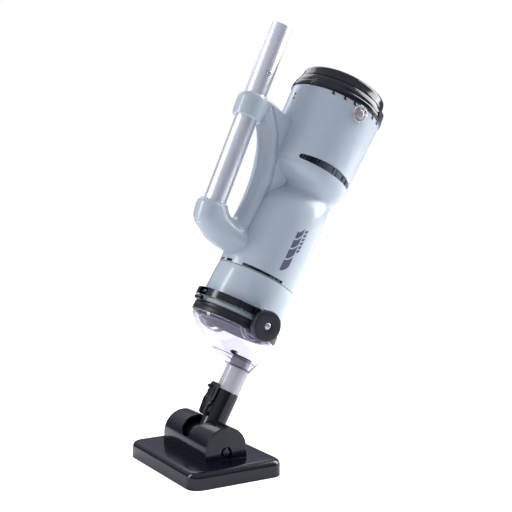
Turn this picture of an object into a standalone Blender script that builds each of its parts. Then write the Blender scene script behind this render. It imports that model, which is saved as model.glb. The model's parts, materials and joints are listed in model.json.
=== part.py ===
"""Cordless hand vacuum with a swivelling floor head and a pole section.

Three frames are used.  The body frame leans by LEAN: its Z runs up the barrel's axis and its origin is
level with the head's swivel axis.  The pole frame's Z runs up the pole from the socket's mouth.  The
head frame is upright, with its origin on the swivel axis.  The world's origin is the centre of the grip.
"""

import math

import bmesh
import bpy
from mathutils import Matrix, Vector

# Driving dimensions, in metres.
LEAN = math.radians(29.2)          # the barrel's angle from vertical
GAP = 0.0003                       # clearance between touching pieces
WALL = 0.0025                      # moulded wall
PIN_FIT = 0.0003                   # radial clearance round a turning pin

# Radii of the barrel and of what sits on it.
LOWER_RADIUS = 0.0586              # lower barrel
WAIST_RADIUS = 0.0455
WAIST_SHIFT = 0.012                # the waist is nearer the side away from the handle
UPPER_RADIUS = 0.0670              # upper barrel where it starts
RIM_RADIUS = UPPER_RADIUS + 0.0032
CAP_RADIUS = RIM_RADIUS + 0.0014
CAP_DISC_RADIUS = RIM_RADIUS - 0.0057
NECK_RING_RADIUS = RIM_RADIUS - WALL - 0.0012
COLLAR_RADIUS = LOWER_RADIUS + 0.0012
NOSE_RADIUS = COLLAR_RADIUS + 0.0049
CONE_RADIUS = NOSE_RADIUS - 0.0025
LIP_RADIUS = COLLAR_RADIUS + 0.0034
LIP_INNER_RADIUS = COLLAR_RADIUS - 0.0038

# Radii of the intake tube and of what it joins.
TUBE_SHIFT = CONE_RADIUS - 0.0253  # intake tube's axis from the barrel's axis
TUBE_RADIUS = 0.0173
SPIGOT_RADIUS = TUBE_RADIUS - 0.0021
NECK_RADIUS = SPIGOT_RADIUS + GAP + 0.0023
DRUM_RADIUS = NECK_RADIUS + 0.0082
DRUM_HALF = NECK_RADIUS + 0.0012
DRUM_FIT = 0.0006                  # clearance round the swivel's drum
TRUNNION_RADIUS = 0.0052
LATCH_OUT = 0.0095                 # how far the latch tab stands off the neck
LATCH_HALF = 0.0060
FLAP_PIN_RADIUS = 0.0012

# Heights above the swivel axis, from the neck up to the cap.
NECK_TOP = 0.0775
SPIGOT_BOTTOM = NECK_TOP - 0.0295
CONE_BASE = NECK_TOP + GAP + 0.0355
SPIGOT_TOP = CONE_BASE + 0.0167
CONE_DEPTH = 0.0493
CONE_CURVE = 1.7                   # how late the cone narrows and swings aside
NOSE_BASE = CONE_BASE + CONE_DEPTH
NOSE_TOP = NOSE_BASE + 0.0134
COLLAR_BASE = NOSE_TOP + 0.0053
BARREL_SEAM = COLLAR_BASE + 0.0590  # joint between collar and barrel
LOWER_LENGTH = 0.1387              # from the seam to the waist
WAIST_HEIGHT = BARREL_SEAM + LOWER_LENGTH
UPPER_LENGTH = 0.1404              # from the waist to the rim
RIM_HEIGHT = WAIST_HEIGHT + UPPER_LENGTH
CAP_STEP = RIM_HEIGHT + 0.0196     # top of the cap's turning ring
CAP_TOP = CAP_STEP + 0.0166

# Filter, inside the narrowing cone.
FILTER_DROP = 0.0125               # how far its frame hangs below the nose ring
FILTER_SWING = ((FILTER_DROP - GAP) / (CONE_DEPTH - GAP)) ** CONE_CURVE
FILTER_ROOM = CONE_RADIUS - WALL - (CONE_RADIUS - TUBE_RADIUS + TUBE_SHIFT) * FILTER_SWING
FILTER_RADIUS = FILTER_ROOM - 0.0015
FILTER_WALL = 0.0030

# Bail and its knobs.
KNOB_HEIGHT = NOSE_TOP + 0.0005
KNOB_RADIUS = 0.0215
BAIL_RADIUS = COLLAR_RADIUS + 0.0047  # inside radius
BAIL_THICKNESS = 0.0042
BAIL_BASE = COLLAR_BASE + 0.0019
BAIL_TOP = BAIL_BASE + 0.0110
BRACKET_FACE = BAIL_RADIUS + 0.0037  # outer face of the bail's brackets
BRACKET_HALF = 0.0090
KNOB_FACE = BRACKET_FACE + 0.0174

# Floor head, about the swivel axis.
HEAD_HALF_WIDTH = 0.0991
HEAD_HALF_DEPTH = 0.0690
HEAD_CORNER = 0.0220
HEAD_ROUNDING = 0.0090
SOLE = -(DRUM_RADIUS + 0.00775)
PLATE_TOP = SOLE + 0.02095
COVER_SPLIT = PLATE_TOP + 0.0107
COVER_HALF_WIDTH = HEAD_HALF_WIDTH - 0.0338
COVER_RADIUS = DRUM_RADIUS + 0.0056
COVER_TOP = COVER_RADIUS + 0.0034
KEYHOLE_RADIUS = TRUNNION_RADIUS + 0.0031
END_WALL = 0.0040                  # the cover's end walls
MOUTH_HALF_WIDTH = HEAD_HALF_WIDTH - 0.0211
MOUTH_HALF_DEPTH = HEAD_HALF_DEPTH - 0.0430
MOUTH_DEPTH = 0.0060
THROAT = (0.0130, 0.0120)          # half sizes of the way from the mouth to the drum
SCREW_HEAD_RADIUS = 0.0038
BRISTLE_HALF_WIDTH = HEAD_HALF_WIDTH - 0.0241
BRISTLE_SPAN = (HEAD_HALF_DEPTH - 0.0270, HEAD_HALF_DEPTH - 0.0210)
BRISTLE_HEIGHT = 0.0040

# Pole, along its own frame from the socket's mouth.
POLE_RADIUS = 0.015875             # 1.25 inch tube
POLE_WALL = 0.0012
POLE_TILT = math.radians(5.41)     # between the pole and the barrel
POLE_BOTTOM = -0.0460
POLE_TOP = 0.2602
BUTTON_ALONG = 0.1860              # snap button's place up the pole
SNAP_RADIUS = 0.0035

# Handle; a distance out is measured from the lower barrel's skin.
HORN_HEIGHT = BARREL_SEAM + 0.0317
HORN_RADIUS = POLE_RADIUS + 0.007625
HORN_HALF_WIDTH = HORN_RADIUS + 0.0035  # where the horn meets the barrel
SOCKET_OUT = 0.0547                # the socket mouth's centre, where the pole frame starts
SOCKET_HEIGHT = HORN_HEIGHT + 0.0425
ARM_TOP = WAIST_HEIGHT + 0.0910
WEB_HALF = 0.0185
SPINE_HALF_WIDTH = 0.0208
SPINE_HALF_DEPTH = 0.0118
GRIP_OUT = 0.0016
BARREL_CORE = 0.0300               # how near the barrel's axis the web starts, before it is cut to the skin
GRIP_HEIGHT = HORN_HEIGHT + 0.0930
HANDLE_RING_RADIUS = POLE_RADIUS + 0.006125
HANDLE_RING = (ARM_TOP - SOCKET_HEIGHT - 0.0375, ARM_TOP - SOCKET_HEIGHT - 0.0035)
HANDLE_SCREWS = (ARM_TOP - 0.0150, HORN_HEIGHT + 0.0090)
SCREW_RADIUS = 0.0020

# Openings in the barrel.
VENT_BASE = WAIST_HEIGHT + 0.0325
VENT_HEIGHT = (0.0060, 0.0105)     # at its ends and at its middle
VENT_HALF_ANGLE = 46
SLOT_BASE = BARREL_SEAM + 0.0012
SLOT_HEIGHT = 0.0040
BUTTON_HEIGHT = RIM_HEIGHT - 0.0114
BUTTON_RADIUS = 0.0095
CONTACTS = (RIM_HEIGHT - 0.0156, RIM_HEIGHT - 0.0222)
CONTACT_RADIUS = 0.0015

# Motor and battery.
MOTOR_RADIUS = 0.0180
MOTOR_LENGTH = 0.0520
SHAFT_RADIUS = 0.0040
IMPELLER_RADIUS = LOWER_RADIUS - 0.0166
HUB_BASE = BARREL_SEAM + 0.0087
BULKHEAD_BASE = BARREL_SEAM + 0.0257
CELL_RADIUS = 0.0092
CELL_LENGTH = 0.0650
CELL_BASE = WAIST_HEIGHT + 0.0330
BOARD_HALF = 0.0340

BARREL_SIDES = 36
TUBE_SIDES = 24
SMALL_SIDES = 12
SCREW_SIDES = 8


# Materials: colour, roughness, metallic.
FINISHES = {
    "shell": ((0.62, 0.67, 0.73), 0.35, 0.0),
    "black": ((0.012, 0.013, 0.018), 0.25, 0.0),
    "rubber": ((0.03, 0.03, 0.035), 0.7, 0.0),
    "gasket": ((0.28, 0.33, 0.34), 0.6, 0.0),
    "clear": ((0.85, 0.87, 0.90), 0.08, 0.0),
    "aluminium": ((0.80, 0.80, 0.82), 0.3, 1.0),
    "steel": ((0.55, 0.55, 0.56), 0.35, 1.0),
    "brass": ((0.70, 0.52, 0.25), 0.3, 1.0),
    "cell": ((0.05, 0.16, 0.35), 0.4, 0.0),
    "board": ((0.03, 0.20, 0.09), 0.5, 0.0),
    "frame": ((0.09, 0.10, 0.16), 0.4, 0.0),
    "mesh": ((0.80, 0.80, 0.78), 0.9, 0.0),
    "bristle": ((0.05, 0.05, 0.06), 0.9, 0.0),
}


def finish(kind):
    """Return the Principled material of one finish, made once."""
    found = bpy.data.materials.get(kind)
    if found:
        return found
    colour, roughness, metallic = FINISHES[kind]
    material = bpy.data.materials.new(kind)
    material.use_nodes = True
    shader = material.node_tree.nodes["Principled BSDF"]
    shader.inputs["Base Color"].default_value = (*colour, 1.0)
    shader.inputs["Roughness"].default_value = roughness
    shader.inputs["Metallic"].default_value = metallic
    if kind == "clear":
        shader.inputs["Transmission Weight"].default_value = 0.9
    return material


def empty(name, parent=None, location=(0, 0, 0), tilt=0.0):
    """Add a frame: an empty turned by tilt about X."""
    made = bpy.data.objects.new(name, None)
    bpy.context.collection.objects.link(made)
    made.location = location
    made.rotation_euler = (tilt, 0, 0)
    made.parent = parent
    bpy.context.view_layer.update()
    return made


def add_object(name, bm, kind, frame, built_in=None):
    """Turn a bmesh into an object on a frame; its mesh is written in the frame built_in."""
    bmesh.ops.recalc_face_normals(bm, faces=bm.faces)
    if bm.calc_volume(signed=True) < 0:
        bmesh.ops.reverse_faces(bm, faces=bm.faces)
    mesh = bpy.data.meshes.new(name)
    bm.to_mesh(mesh)
    bm.free()
    mesh.shade_smooth()
    mesh.set_sharp_from_angle(angle=math.radians(32))
    mesh.materials.append(finish(kind))
    made = bpy.data.objects.new(name, mesh)
    bpy.context.collection.objects.link(made)
    made.parent = frame
    if built_in:
        made.matrix_parent_inverse = frame.matrix_world.inverted() @ built_in.matrix_world
    return made


def add_ring(bm, centre, radius, sides, tilt=0.0, squash=1.0):
    """Add one ring of vertices, in order; squash is its depth over its width."""
    place = Matrix.Translation(centre) @ Matrix.Rotation(tilt, 4, "X") @ Matrix.Diagonal((1, squash, 1, 1))
    return bmesh.ops.create_circle(bm, segments=sides, radius=radius, matrix=place)["verts"]


def loft(rings, sides, closed):
    """Skin a row of rings, (centre, radius, tilt, squash); a closed row joins its last to its first."""
    bm = bmesh.new()
    loops = [add_ring(bm, centre, radius, sides, tilt, squash) for centre, radius, tilt, squash in rings]
    pairs = list(zip(loops, loops[1:]))
    if closed:
        pairs.append((loops[-1], loops[0]))
    else:
        bm.faces.new(loops[0])
        bm.faces.new(loops[-1])
    for near, far in pairs:
        for index in range(sides):
            after = (index + 1) % sides
            bm.faces.new((near[index], near[after], far[after], far[index]))
    return bm


def turn(profile, sides, hollow=False, centre=(0, 0), axis="Z"):
    """Turn a profile of (radius, height) about an upright axis, or about X."""
    rings = [(Vector((centre[0], centre[1], height)), radius, 0.0, 1.0) for radius, height in profile]
    bm = loft(rings, sides, hollow)
    if axis == "X":
        bmesh.ops.rotate(bm, verts=bm.verts, cent=(0, 0, 0), matrix=Matrix.Rotation(math.pi / 2, 3, "Y"))
    return bm


def tube(outer, inner, low, high, sides, centre=(0, 0), axis="Z"):
    """Return a plain tube between two heights."""
    profile = [(outer, low), (outer, high), (inner, high), (inner, low)]
    return turn(profile, sides, True, centre, axis)


def rod(radius, low, high, sides, centre=(0, 0), axis="Z"):
    """Return a plain round bar between two heights."""
    return turn([(radius, low), (radius, high)], sides, False, centre, axis)


def shifted(bm, offset):
    """Move a whole bmesh and return it."""
    bmesh.ops.translate(bm, verts=bm.verts, vec=offset)
    return bm


def box(low, high, bevel=0.0, segments=2):
    """Return a box between two corners, with its edges rounded by bevel."""
    bm = bmesh.new()
    size = Vector(high) - Vector(low)
    middle = (Vector(high) + Vector(low)) / 2
    bmesh.ops.create_cube(bm, size=1.0, matrix=Matrix.Translation(middle) @ Matrix.Diagonal((*size, 1)))
    if bevel:
        bmesh.ops.bevel(bm, geom=bm.edges, offset=bevel, segments=segments, profile=0.5, affect="EDGES")
    return bm


def slab(outline, low, high):
    """Extrude an outline in the YZ plane from x = low to x = high."""
    bm = bmesh.new()
    verts = [bm.verts.new((low, y, z)) for y, z in outline]
    face = bm.faces.new(verts)
    made = bmesh.ops.extrude_face_region(bm, geom=[face])
    new_verts = [item for item in made["geom"] if isinstance(item, bmesh.types.BMVert)]
    bmesh.ops.translate(bm, verts=new_verts, vec=(high - low, 0, 0))
    return bm


def arc(centre, radius, start, end, steps):
    """Return points of an arc in a plane, angles in degrees."""
    angles = [math.radians(start + (end - start) * step / steps) for step in range(steps + 1)]
    return [(centre[0] + radius * math.cos(a), centre[1] + radius * math.sin(a)) for a in angles]


def out(distance):
    """Return the y of a place outside the lower barrel's skin, on the handle's side."""
    return -(LOWER_RADIUS + distance)


def boolean(target, bm, operation="DIFFERENCE", built_in=None):
    """Cut target with, or join it to, the solid in bm, written in the frame built_in."""
    frame = built_in or target.parent
    tool = add_object(f"{target.name}_tool_{len(target.modifiers)}", bm, "steel", frame)
    tool.hide_render = True
    tool.display_type = "WIRE"
    modifier = target.modifiers.new(tool.name, "BOOLEAN")
    modifier.operation = operation
    modifier.solver = "EXACT"
    modifier.object = tool
    return target


def barrel_rings(offset, low=None, high=None):
    """Rings of the barrel's skin moved outwards by offset, between two heights."""
    waist = WAIST_HEIGHT
    skin = [
        (BARREL_SEAM + GAP, LOWER_RADIUS - 0.0006, 0.0),
        (BARREL_SEAM + 0.0497, LOWER_RADIUS, 0.0),
        (waist - 0.044, LOWER_RADIUS - 0.0006, 0.0),
        (waist - 0.027, LOWER_RADIUS - 0.0031, WAIST_SHIFT * 0.12),
        (waist - 0.015, WAIST_RADIUS + 0.0062, WAIST_SHIFT * 0.45),
        (waist - 0.006, WAIST_RADIUS + 0.0016, WAIST_SHIFT * 0.85),
        (waist, WAIST_RADIUS, WAIST_SHIFT),
        (waist + 0.005, WAIST_RADIUS + 0.0030, WAIST_SHIFT * 0.80),
        (waist + 0.012, UPPER_RADIUS - 0.0100, WAIST_SHIFT * 0.38),
        (waist + 0.020, UPPER_RADIUS - 0.0040, WAIST_SHIFT * 0.12),
        (waist + 0.030, UPPER_RADIUS - 0.0004, 0.0),
        (RIM_HEIGHT, RIM_RADIUS, 0.0),
    ]
    if low is not None:
        skin.insert(0, (low, *skin[0][1:]))
    if high is not None:
        skin.append((high, *skin[-1][1:]))
    return [(Vector((0, shift, height)), radius + offset, 0.0, 1.0) for height, radius, shift in skin]


def barrel_radius(height):
    """Radius of the upper barrel's skin at a height, on its straight part."""
    base = WAIST_HEIGHT + 0.030
    share = (height - base) / (RIM_HEIGHT - base)
    return UPPER_RADIUS - 0.0004 + share * (RIM_RADIUS - UPPER_RADIUS + 0.0004)


def wedge_ring(inner, outer, heights, start, end, steps):
    """Return a piece of a ring between two angles; heights gives (low, high) at a share of the span."""
    bm = bmesh.new()
    sections = []
    for step in range(steps + 1):
        share = step / steps
        angle = math.radians(start + (end - start) * share)
        low, high = heights(share)
        corners = [(inner, low), (outer, low), (outer, high), (inner, high)]
        ring = [bm.verts.new((r * math.cos(angle), r * math.sin(angle), z)) for r, z in corners]
        sections.append(ring)
    for near, far in zip(sections, sections[1:]):
        for index in range(4):
            after = (index + 1) % 4
            bm.faces.new((near[index], near[after], far[after], far[index]))
    bm.faces.new(sections[0])
    bm.faces.new(reversed(sections[-1]))
    return bm


# Housing: the barrel, the handle, the collar and what they hold.

def vent_span(share):
    """Heights of the upper vent's lower and upper edges along its span."""
    swell = math.sin(math.pi * share)
    return VENT_BASE, VENT_BASE + VENT_HEIGHT[0] + (VENT_HEIGHT[1] - VENT_HEIGHT[0]) * swell


def make_main_shell(frame):
    """The moulded barrel, open at both ends, with its vents and holes."""
    outer = barrel_rings(0.0)
    inner = barrel_rings(-WALL)
    shell = add_object("main_shell", loft(outer + inner[::-1], BARREL_SIDES, True), "shell", frame)
    for side in (0, 180):
        vent = wedge_ring(UPPER_RADIUS - 0.022, UPPER_RADIUS + 0.013, vent_span, side - VENT_HALF_ANGLE,
                          side + VENT_HALF_ANGLE, 12)
        boolean(shell, vent)
    for start, end in ((-87, 6), (174, 267)):
        slot = wedge_ring(LOWER_RADIUS - 0.014, LOWER_RADIUS + 0.020,
                          lambda share: (SLOT_BASE, SLOT_BASE + SLOT_HEIGHT), start, end, 6)
        boolean(shell, slot)
    near, far = RIM_RADIUS - 0.015, RIM_RADIUS + 0.010
    hole = rod(BUTTON_RADIUS + GAP, near, far, TUBE_SIDES, axis="X")
    boolean(shell, shifted(hole, (0, 0, BUTTON_HEIGHT)))
    for height in CONTACTS:
        hole = rod(CONTACT_RADIUS + GAP, -far, -near, SCREW_SIDES)
        bmesh.ops.rotate(hole, verts=hole.verts, cent=(0, 0, 0), matrix=Matrix.Rotation(-math.pi / 2, 3, "X"))
        boolean(shell, shifted(hole, (0, 0, height)))
    for height in HANDLE_SCREWS:
        boolean(shell, screw_solid(height, SCREW_RADIUS + GAP, False))
    return shell


def screw_solid(height, radius, with_head=True):
    """A screw along Y from inside the barrel into the handle at a height."""
    skin = barrel_radius(height) if height > WAIST_HEIGHT else LOWER_RADIUS
    seat = skin - WALL - 0.0012
    profile = [(radius, seat + 0.0008), (radius, skin + 0.008)]
    if with_head:
        profile = [(2 * radius, seat - 0.0022), (2 * radius, seat), (radius, seat), (radius, skin + 0.0070)]
    bm = turn(profile, SCREW_SIDES)
    bmesh.ops.rotate(bm, verts=bm.verts, cent=(0, 0, 0), matrix=Matrix.Rotation(math.pi / 2, 3, "X"))
    return shifted(bm, (0, 0, height))


def horn_rings():
    """The horn's lying part, from its rounded heel to the barrel."""
    path = [
        (0.0654, 0.0090, HORN_RADIUS - 0.0145, 1.0),
        (0.0594, 0.0070, HORN_RADIUS - 0.0085, 1.0),
        (0.0494, 0.0045, HORN_RADIUS - 0.0035, 1.0),
        (0.0364, 0.0030, HORN_RADIUS - 0.0010, 0.90),
        (0.0214, 0.0005, HORN_RADIUS + 0.0015, 0.86),
        (0.0014, 0.0, HORN_HALF_WIDTH, 0.80),
        (-0.0166, 0.0005, HORN_HALF_WIDTH + 0.0010, 0.78),
    ]
    return [(Vector((0, out(distance), HORN_HEIGHT + rise)), radius, -math.pi / 2, squash)
            for distance, rise, radius, squash in path]


def spine_rings():
    """The grip's bar, from the arm down to the horn."""
    half = SPINE_HALF_WIDTH
    depth = SPINE_HALF_DEPTH / SPINE_HALF_WIDTH
    path = [
        (0.0424, ARM_TOP - 0.0180, 52),
        (0.0304, ARM_TOP - 0.0340, 40),
        (0.0194, ARM_TOP - 0.0520, 26),
        (0.0104, ARM_TOP - 0.0750, 14),
        (0.0044, ARM_TOP - 0.0960, 8),
        (0.0010, HORN_HEIGHT + 0.0780, 4),
        (0.0, HORN_HEIGHT + 0.0480, 0),
        (0.0004, HORN_HEIGHT + 0.0130, -2),
    ]
    return [(Vector((0, out(distance), height)), half, math.radians(angle), depth)
            for distance, height, angle in path]


def make_handle(frame, pole_frame):
    """Collar, arm, web, grip and socket horn, in one moulding that hugs the barrel."""
    handle = add_object("handle", loft(horn_rings(), TUBE_SIDES, False), "shell", frame)
    cup = turn([(HORN_RADIUS - 0.0022, -0.0100), (HORN_RADIUS - 0.0022, -0.0145), (HORN_RADIUS, -0.0160),
                (HORN_RADIUS, -0.0330), (HORN_RADIUS - 0.0020, -0.0430), (HORN_RADIUS - 0.0070, -0.0510),
                (HORN_RADIUS - 0.0150, -0.0560)], TUBE_SIDES)
    boolean(handle, cup, "UNION", pole_frame)
    boolean(handle, loft(spine_rings(), TUBE_SIDES, False), "UNION")
    low, high = HANDLE_RING
    ring = turn([(HANDLE_RING_RADIUS - 0.002, low), (HANDLE_RING_RADIUS, low + 0.004),
                 (HANDLE_RING_RADIUS, high - 0.005), (HANDLE_RING_RADIUS - 0.004, high)], TUBE_SIDES)
    boolean(handle, ring, "UNION", pole_frame)
    arm_under = arc((out(0.0394), ARM_TOP - 0.0450), 0.0250, 127.5, 146.25, 1)
    web = [(out(0.0694), ARM_TOP - 0.0030), (out(0.0654), ARM_TOP), (-BARREL_CORE, ARM_TOP),
           (-BARREL_CORE, HORN_HEIGHT + 0.0230), (out(0.0004), HORN_HEIGHT + 0.0230),
           (out(0.0014), HORN_HEIGHT + 0.0930), (out(0.0104), ARM_TOP - 0.0700),
           (out(0.0264), ARM_TOP - 0.0370)]
    web += arm_under
    boolean(handle, slab(web, -WEB_HALF, WEB_HALF), "UNION")
    barrel = barrel_rings(GAP, low=BARREL_SEAM - 0.0103, high=RIM_HEIGHT + 0.0206)
    boolean(handle, loft(barrel, BARREL_SIDES, False))
    bore = rod(POLE_RADIUS + GAP, POLE_BOTTOM - GAP, high + 0.048, TUBE_SIDES)
    boolean(handle, bore, built_in=pole_frame)
    for height in HANDLE_SCREWS:
        boolean(handle, screw_solid(height, SCREW_RADIUS + GAP, False))
    return handle


def make_collar(frame):
    """The lower collar with the two brackets that carry the bail."""
    top = BARREL_SEAM - GAP
    middle = COLLAR_BASE + 0.0237
    profile = [(COLLAR_RADIUS + 0.0003, COLLAR_BASE), (COLLAR_RADIUS, middle), (LOWER_RADIUS - 0.0002, top),
               (LOWER_RADIUS - 0.0002 - WALL, top), (COLLAR_RADIUS - WALL, middle),
               (COLLAR_RADIUS - WALL, COLLAR_BASE)]
    collar = add_object("lower_collar", turn(profile, BARREL_SIDES, True), "shell", frame)
    half = BRACKET_HALF
    lug_top = COLLAR_BASE + 0.0177
    for side in (1, -1):
        reach = sorted((side * (COLLAR_RADIUS - 0.0015), side * BRACKET_FACE))
        lug = [(-half, lug_top), (-half, COLLAR_BASE), (half, COLLAR_BASE), (half, lug_top)]
        boolean(collar, slab(lug, *reach), "UNION")
        reach = sorted((side * (NOSE_RADIUS + 0.0008), side * BRACKET_FACE))
        ear = [(half, COLLAR_BASE + 0.001), *arc((0, KNOB_HEIGHT - 0.003), half, 0, -180, 8),
               (-half, COLLAR_BASE + 0.001)]
        boolean(collar, slab(ear, *reach), "UNION")
    return collar


def make_vent_liners(frame):
    """Dark ducts behind the two levels of vents."""
    inner = UPPER_RADIUS - WALL - 0.0015
    low, high = VENT_BASE - 0.0035, VENT_BASE + 0.0145
    profile = [(inner, low), (inner, high), (inner - 0.0020, high), (inner - 0.0060, low)]
    add_object("upper_vent_liner", turn(profile, BARREL_SIDES, True), "rubber", frame)
    inner = LOWER_RADIUS - WALL - 0.0020
    profile = tube(inner, inner - 0.0020, SLOT_BASE - 0.0010, SLOT_BASE + 0.0095, BARREL_SIDES)
    liner = add_object("lower_vent_liner", profile, "rubber", frame)
    for start in (12, 102, 192, 282):
        spread = wedge_ring(inner - 0.014, inner + 0.016,
                            lambda share: (SLOT_BASE + 0.0005, SLOT_BASE + 0.0035), start, start + 66, 6)
        boolean(liner, spread)


def make_motor(frame, rotor_frame, built_in):
    """Sealed motor behind its bulkhead, with the shaft and the impeller in front."""
    inner = LOWER_RADIUS - WALL - 0.0012
    base = BULKHEAD_BASE
    plate = turn([(inner, base), (inner, base + 0.004), (SHAFT_RADIUS + 0.0022, base + 0.004),
                  (SHAFT_RADIUS + 0.0022, base)], BARREL_SIDES, True)
    add_object("bulkhead", plate, "frame", frame)
    seal = turn([(SHAFT_RADIUS + 0.0019, base - 0.001), (SHAFT_RADIUS + 0.0019, base + 0.0037),
                 (SHAFT_RADIUS + PIN_FIT, base + 0.0037), (SHAFT_RADIUS + PIN_FIT, base - 0.001)],
                SMALL_SIDES, True)
    add_object("shaft_seal", seal, "rubber", frame)
    can_base = base + 0.004 + GAP
    shaft_end = can_base + 0.022
    can_end = can_base + MOTOR_LENGTH
    can = turn([(MOTOR_RADIUS, can_base), (MOTOR_RADIUS, can_end),
                (SHAFT_RADIUS + 0.001, can_end), (SHAFT_RADIUS + 0.001, shaft_end + 0.004),
                (SHAFT_RADIUS + 0.0012, shaft_end + 0.002), (SHAFT_RADIUS + 0.0012, can_base)],
               TUBE_SIDES, True)
    add_object("motor", can, "steel", frame)
    cap = turn([(MOTOR_RADIUS - 0.001, can_end + GAP), (MOTOR_RADIUS - 0.001, can_end + 0.004),
                (0.007, can_end + 0.007)], TUBE_SIDES)
    add_object("motor_end_bell", cap, "black", frame)
    hub = HUB_BASE
    shaft = rod(SHAFT_RADIUS, hub - 0.001, shaft_end, SMALL_SIDES)
    add_object("motor_shaft", shaft, "steel", rotor_frame, built_in)
    disc = turn([(IMPELLER_RADIUS, hub + 0.009), (IMPELLER_RADIUS, hub + 0.011),
                 (0.010, hub + 0.013), (SHAFT_RADIUS + PIN_FIT, hub + 0.013),
                 (SHAFT_RADIUS + PIN_FIT, hub), (0.009, hub), (0.010, hub + 0.009)], TUBE_SIDES, True)
    impeller = add_object("impeller", disc, "black", rotor_frame, built_in)
    for index in range(6):
        blade = box((0.0085, -0.0009, hub + 0.001), (IMPELLER_RADIUS - 0.001, 0.0009, hub + 0.0095))
        turned = Matrix.Rotation(index * math.pi / 3, 3, "Z")
        bmesh.ops.rotate(blade, verts=blade.verts, cent=(0, 0, 0), matrix=turned)
        boolean(impeller, blade, "UNION", built_in)


def make_battery(frame):
    """Cells between two trays, with the control board above."""
    top = CELL_BASE + CELL_LENGTH
    reach = 2 * CELL_RADIUS + 0.0035
    spread = CELL_RADIUS + 0.0004
    for name, low, high in (("battery_tray_lower", CELL_BASE - 0.0060, CELL_BASE - GAP),
                            ("battery_tray_upper", top + GAP, top + 0.0045)):
        add_object(name, box((-reach, -reach, low), (reach, reach, high), 0.002, 1), "frame", frame)
    index = 0
    for x in (-spread, spread):
        for y in (-spread, spread):
            index += 1
            cell = rod(CELL_RADIUS, CELL_BASE, top, SMALL_SIDES, centre=(x, y))
            add_object(f"battery_cell_{index}", cell, "cell", frame)
    half = BOARD_HALF
    add_object("control_board", box((-half, -half, top + 0.0110), (half, half, top + 0.0126)), "board", frame)


def make_contacts(frame):
    """Charging contacts that show through two holes on the handle's side."""
    for name, height in zip(("charge_contact_upper", "charge_contact_lower"), CONTACTS):
        skin = barrel_radius(height)
        pin = rod(CONTACT_RADIUS, skin - 0.0060, skin - 0.0002, SCREW_SIDES)
        bmesh.ops.rotate(pin, verts=pin.verts, cent=(0, 0, 0), matrix=Matrix.Rotation(math.pi / 2, 3, "X"))
        add_object(name, shifted(pin, (0, 0, height)), "brass", frame)


def make_neck_ring(frame):
    """The fixed neck that the cap turns on."""
    radius = NECK_RING_RADIUS
    base = RIM_HEIGHT - 0.0012
    profile = [(radius, base), (radius, CAP_STEP - 0.0045), (radius - 0.0035, CAP_STEP - 0.0045),
               (radius - 0.0035, base)]
    add_object("battery_neck", turn(profile, BARREL_SIDES, True), "black", frame)


def make_button(frame, button_frame, built_in):
    """Power button under a clear boot, in a bezel on the barrel's side."""
    skin = barrel_radius(BUTTON_HEIGHT)
    dome = turn([(BUTTON_RADIUS - 0.0010, skin - 0.0050), (BUTTON_RADIUS - 0.0010, skin + 0.0002),
                 (BUTTON_RADIUS - 0.0025, skin + 0.0014), (BUTTON_RADIUS - 0.0055, skin + 0.0021)],
                TUBE_SIDES, axis="X")
    add_object("power_button", shifted(dome, (0, 0, BUTTON_HEIGHT)), "clear", button_frame, built_in)
    seat = turn([(BUTTON_RADIUS - 0.0012, skin - 0.0092), (BUTTON_RADIUS - 0.0012, skin - 0.0080)],
                TUBE_SIDES, axis="X")
    add_object("switch_body", shifted(seat, (0, 0, BUTTON_HEIGHT)), "black", frame)


def make_handle_screws(frame):
    """Screws that hold the handle, one by the arm and one by the horn."""
    for name, height in zip(("arm_screw", "horn_screw"), HANDLE_SCREWS):
        add_object(name, screw_solid(height, SCREW_RADIUS), "steel", frame)


# Cap, turned by hand.

def make_cap(frame, built_in):
    """Turning ring, top disc and its seal."""
    base = RIM_HEIGHT + GAP
    inner = NECK_RING_RADIUS + PIN_FIT
    profile = [(CAP_RADIUS - 0.0008, base), (CAP_RADIUS, base + 0.0015), (CAP_RADIUS, base + 0.0100),
               (CAP_RADIUS - 0.0030, base + 0.0125), (CAP_RADIUS - 0.0042, CAP_STEP), (inner, CAP_STEP),
               (inner, base)]
    ring = add_object("cap_ring", turn(profile, BARREL_SIDES, True), "black", frame, built_in)
    for index in range(12):
        near, far = CAP_RADIUS - 0.0012, CAP_RADIUS + 0.002
        notch = box((near, -0.0030, base + 0.0030), (far, 0.0030, CAP_STEP + 0.001))
        turned = Matrix.Rotation(math.radians(index * 30 + 15), 3, "Z")
        bmesh.ops.rotate(notch, verts=notch.verts, cent=(0, 0, 0), matrix=turned)
        boolean(ring, notch, built_in=built_in)
    low = CAP_STEP + GAP
    edge = CAP_DISC_RADIUS
    profile = [(edge + 0.0022, low), (edge + 0.0006, CAP_TOP - 0.0060), (edge - 0.0012, CAP_TOP - 0.0022),
               (edge - 0.0045, CAP_TOP), (edge - 0.0145, CAP_TOP - 0.0008)]
    disc = turn(profile, BARREL_SIDES)
    add_object("cap_disc", disc, "black", frame, built_in)
    seal = tube(NECK_RING_RADIUS - 0.0004, NECK_RING_RADIUS - 0.0032, CAP_STEP - 0.0042, CAP_STEP - 0.0003,
                BARREL_SIDES)
    add_object("cap_seal", seal, "rubber", frame, built_in)


# Bail, with its knobs.

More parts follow.
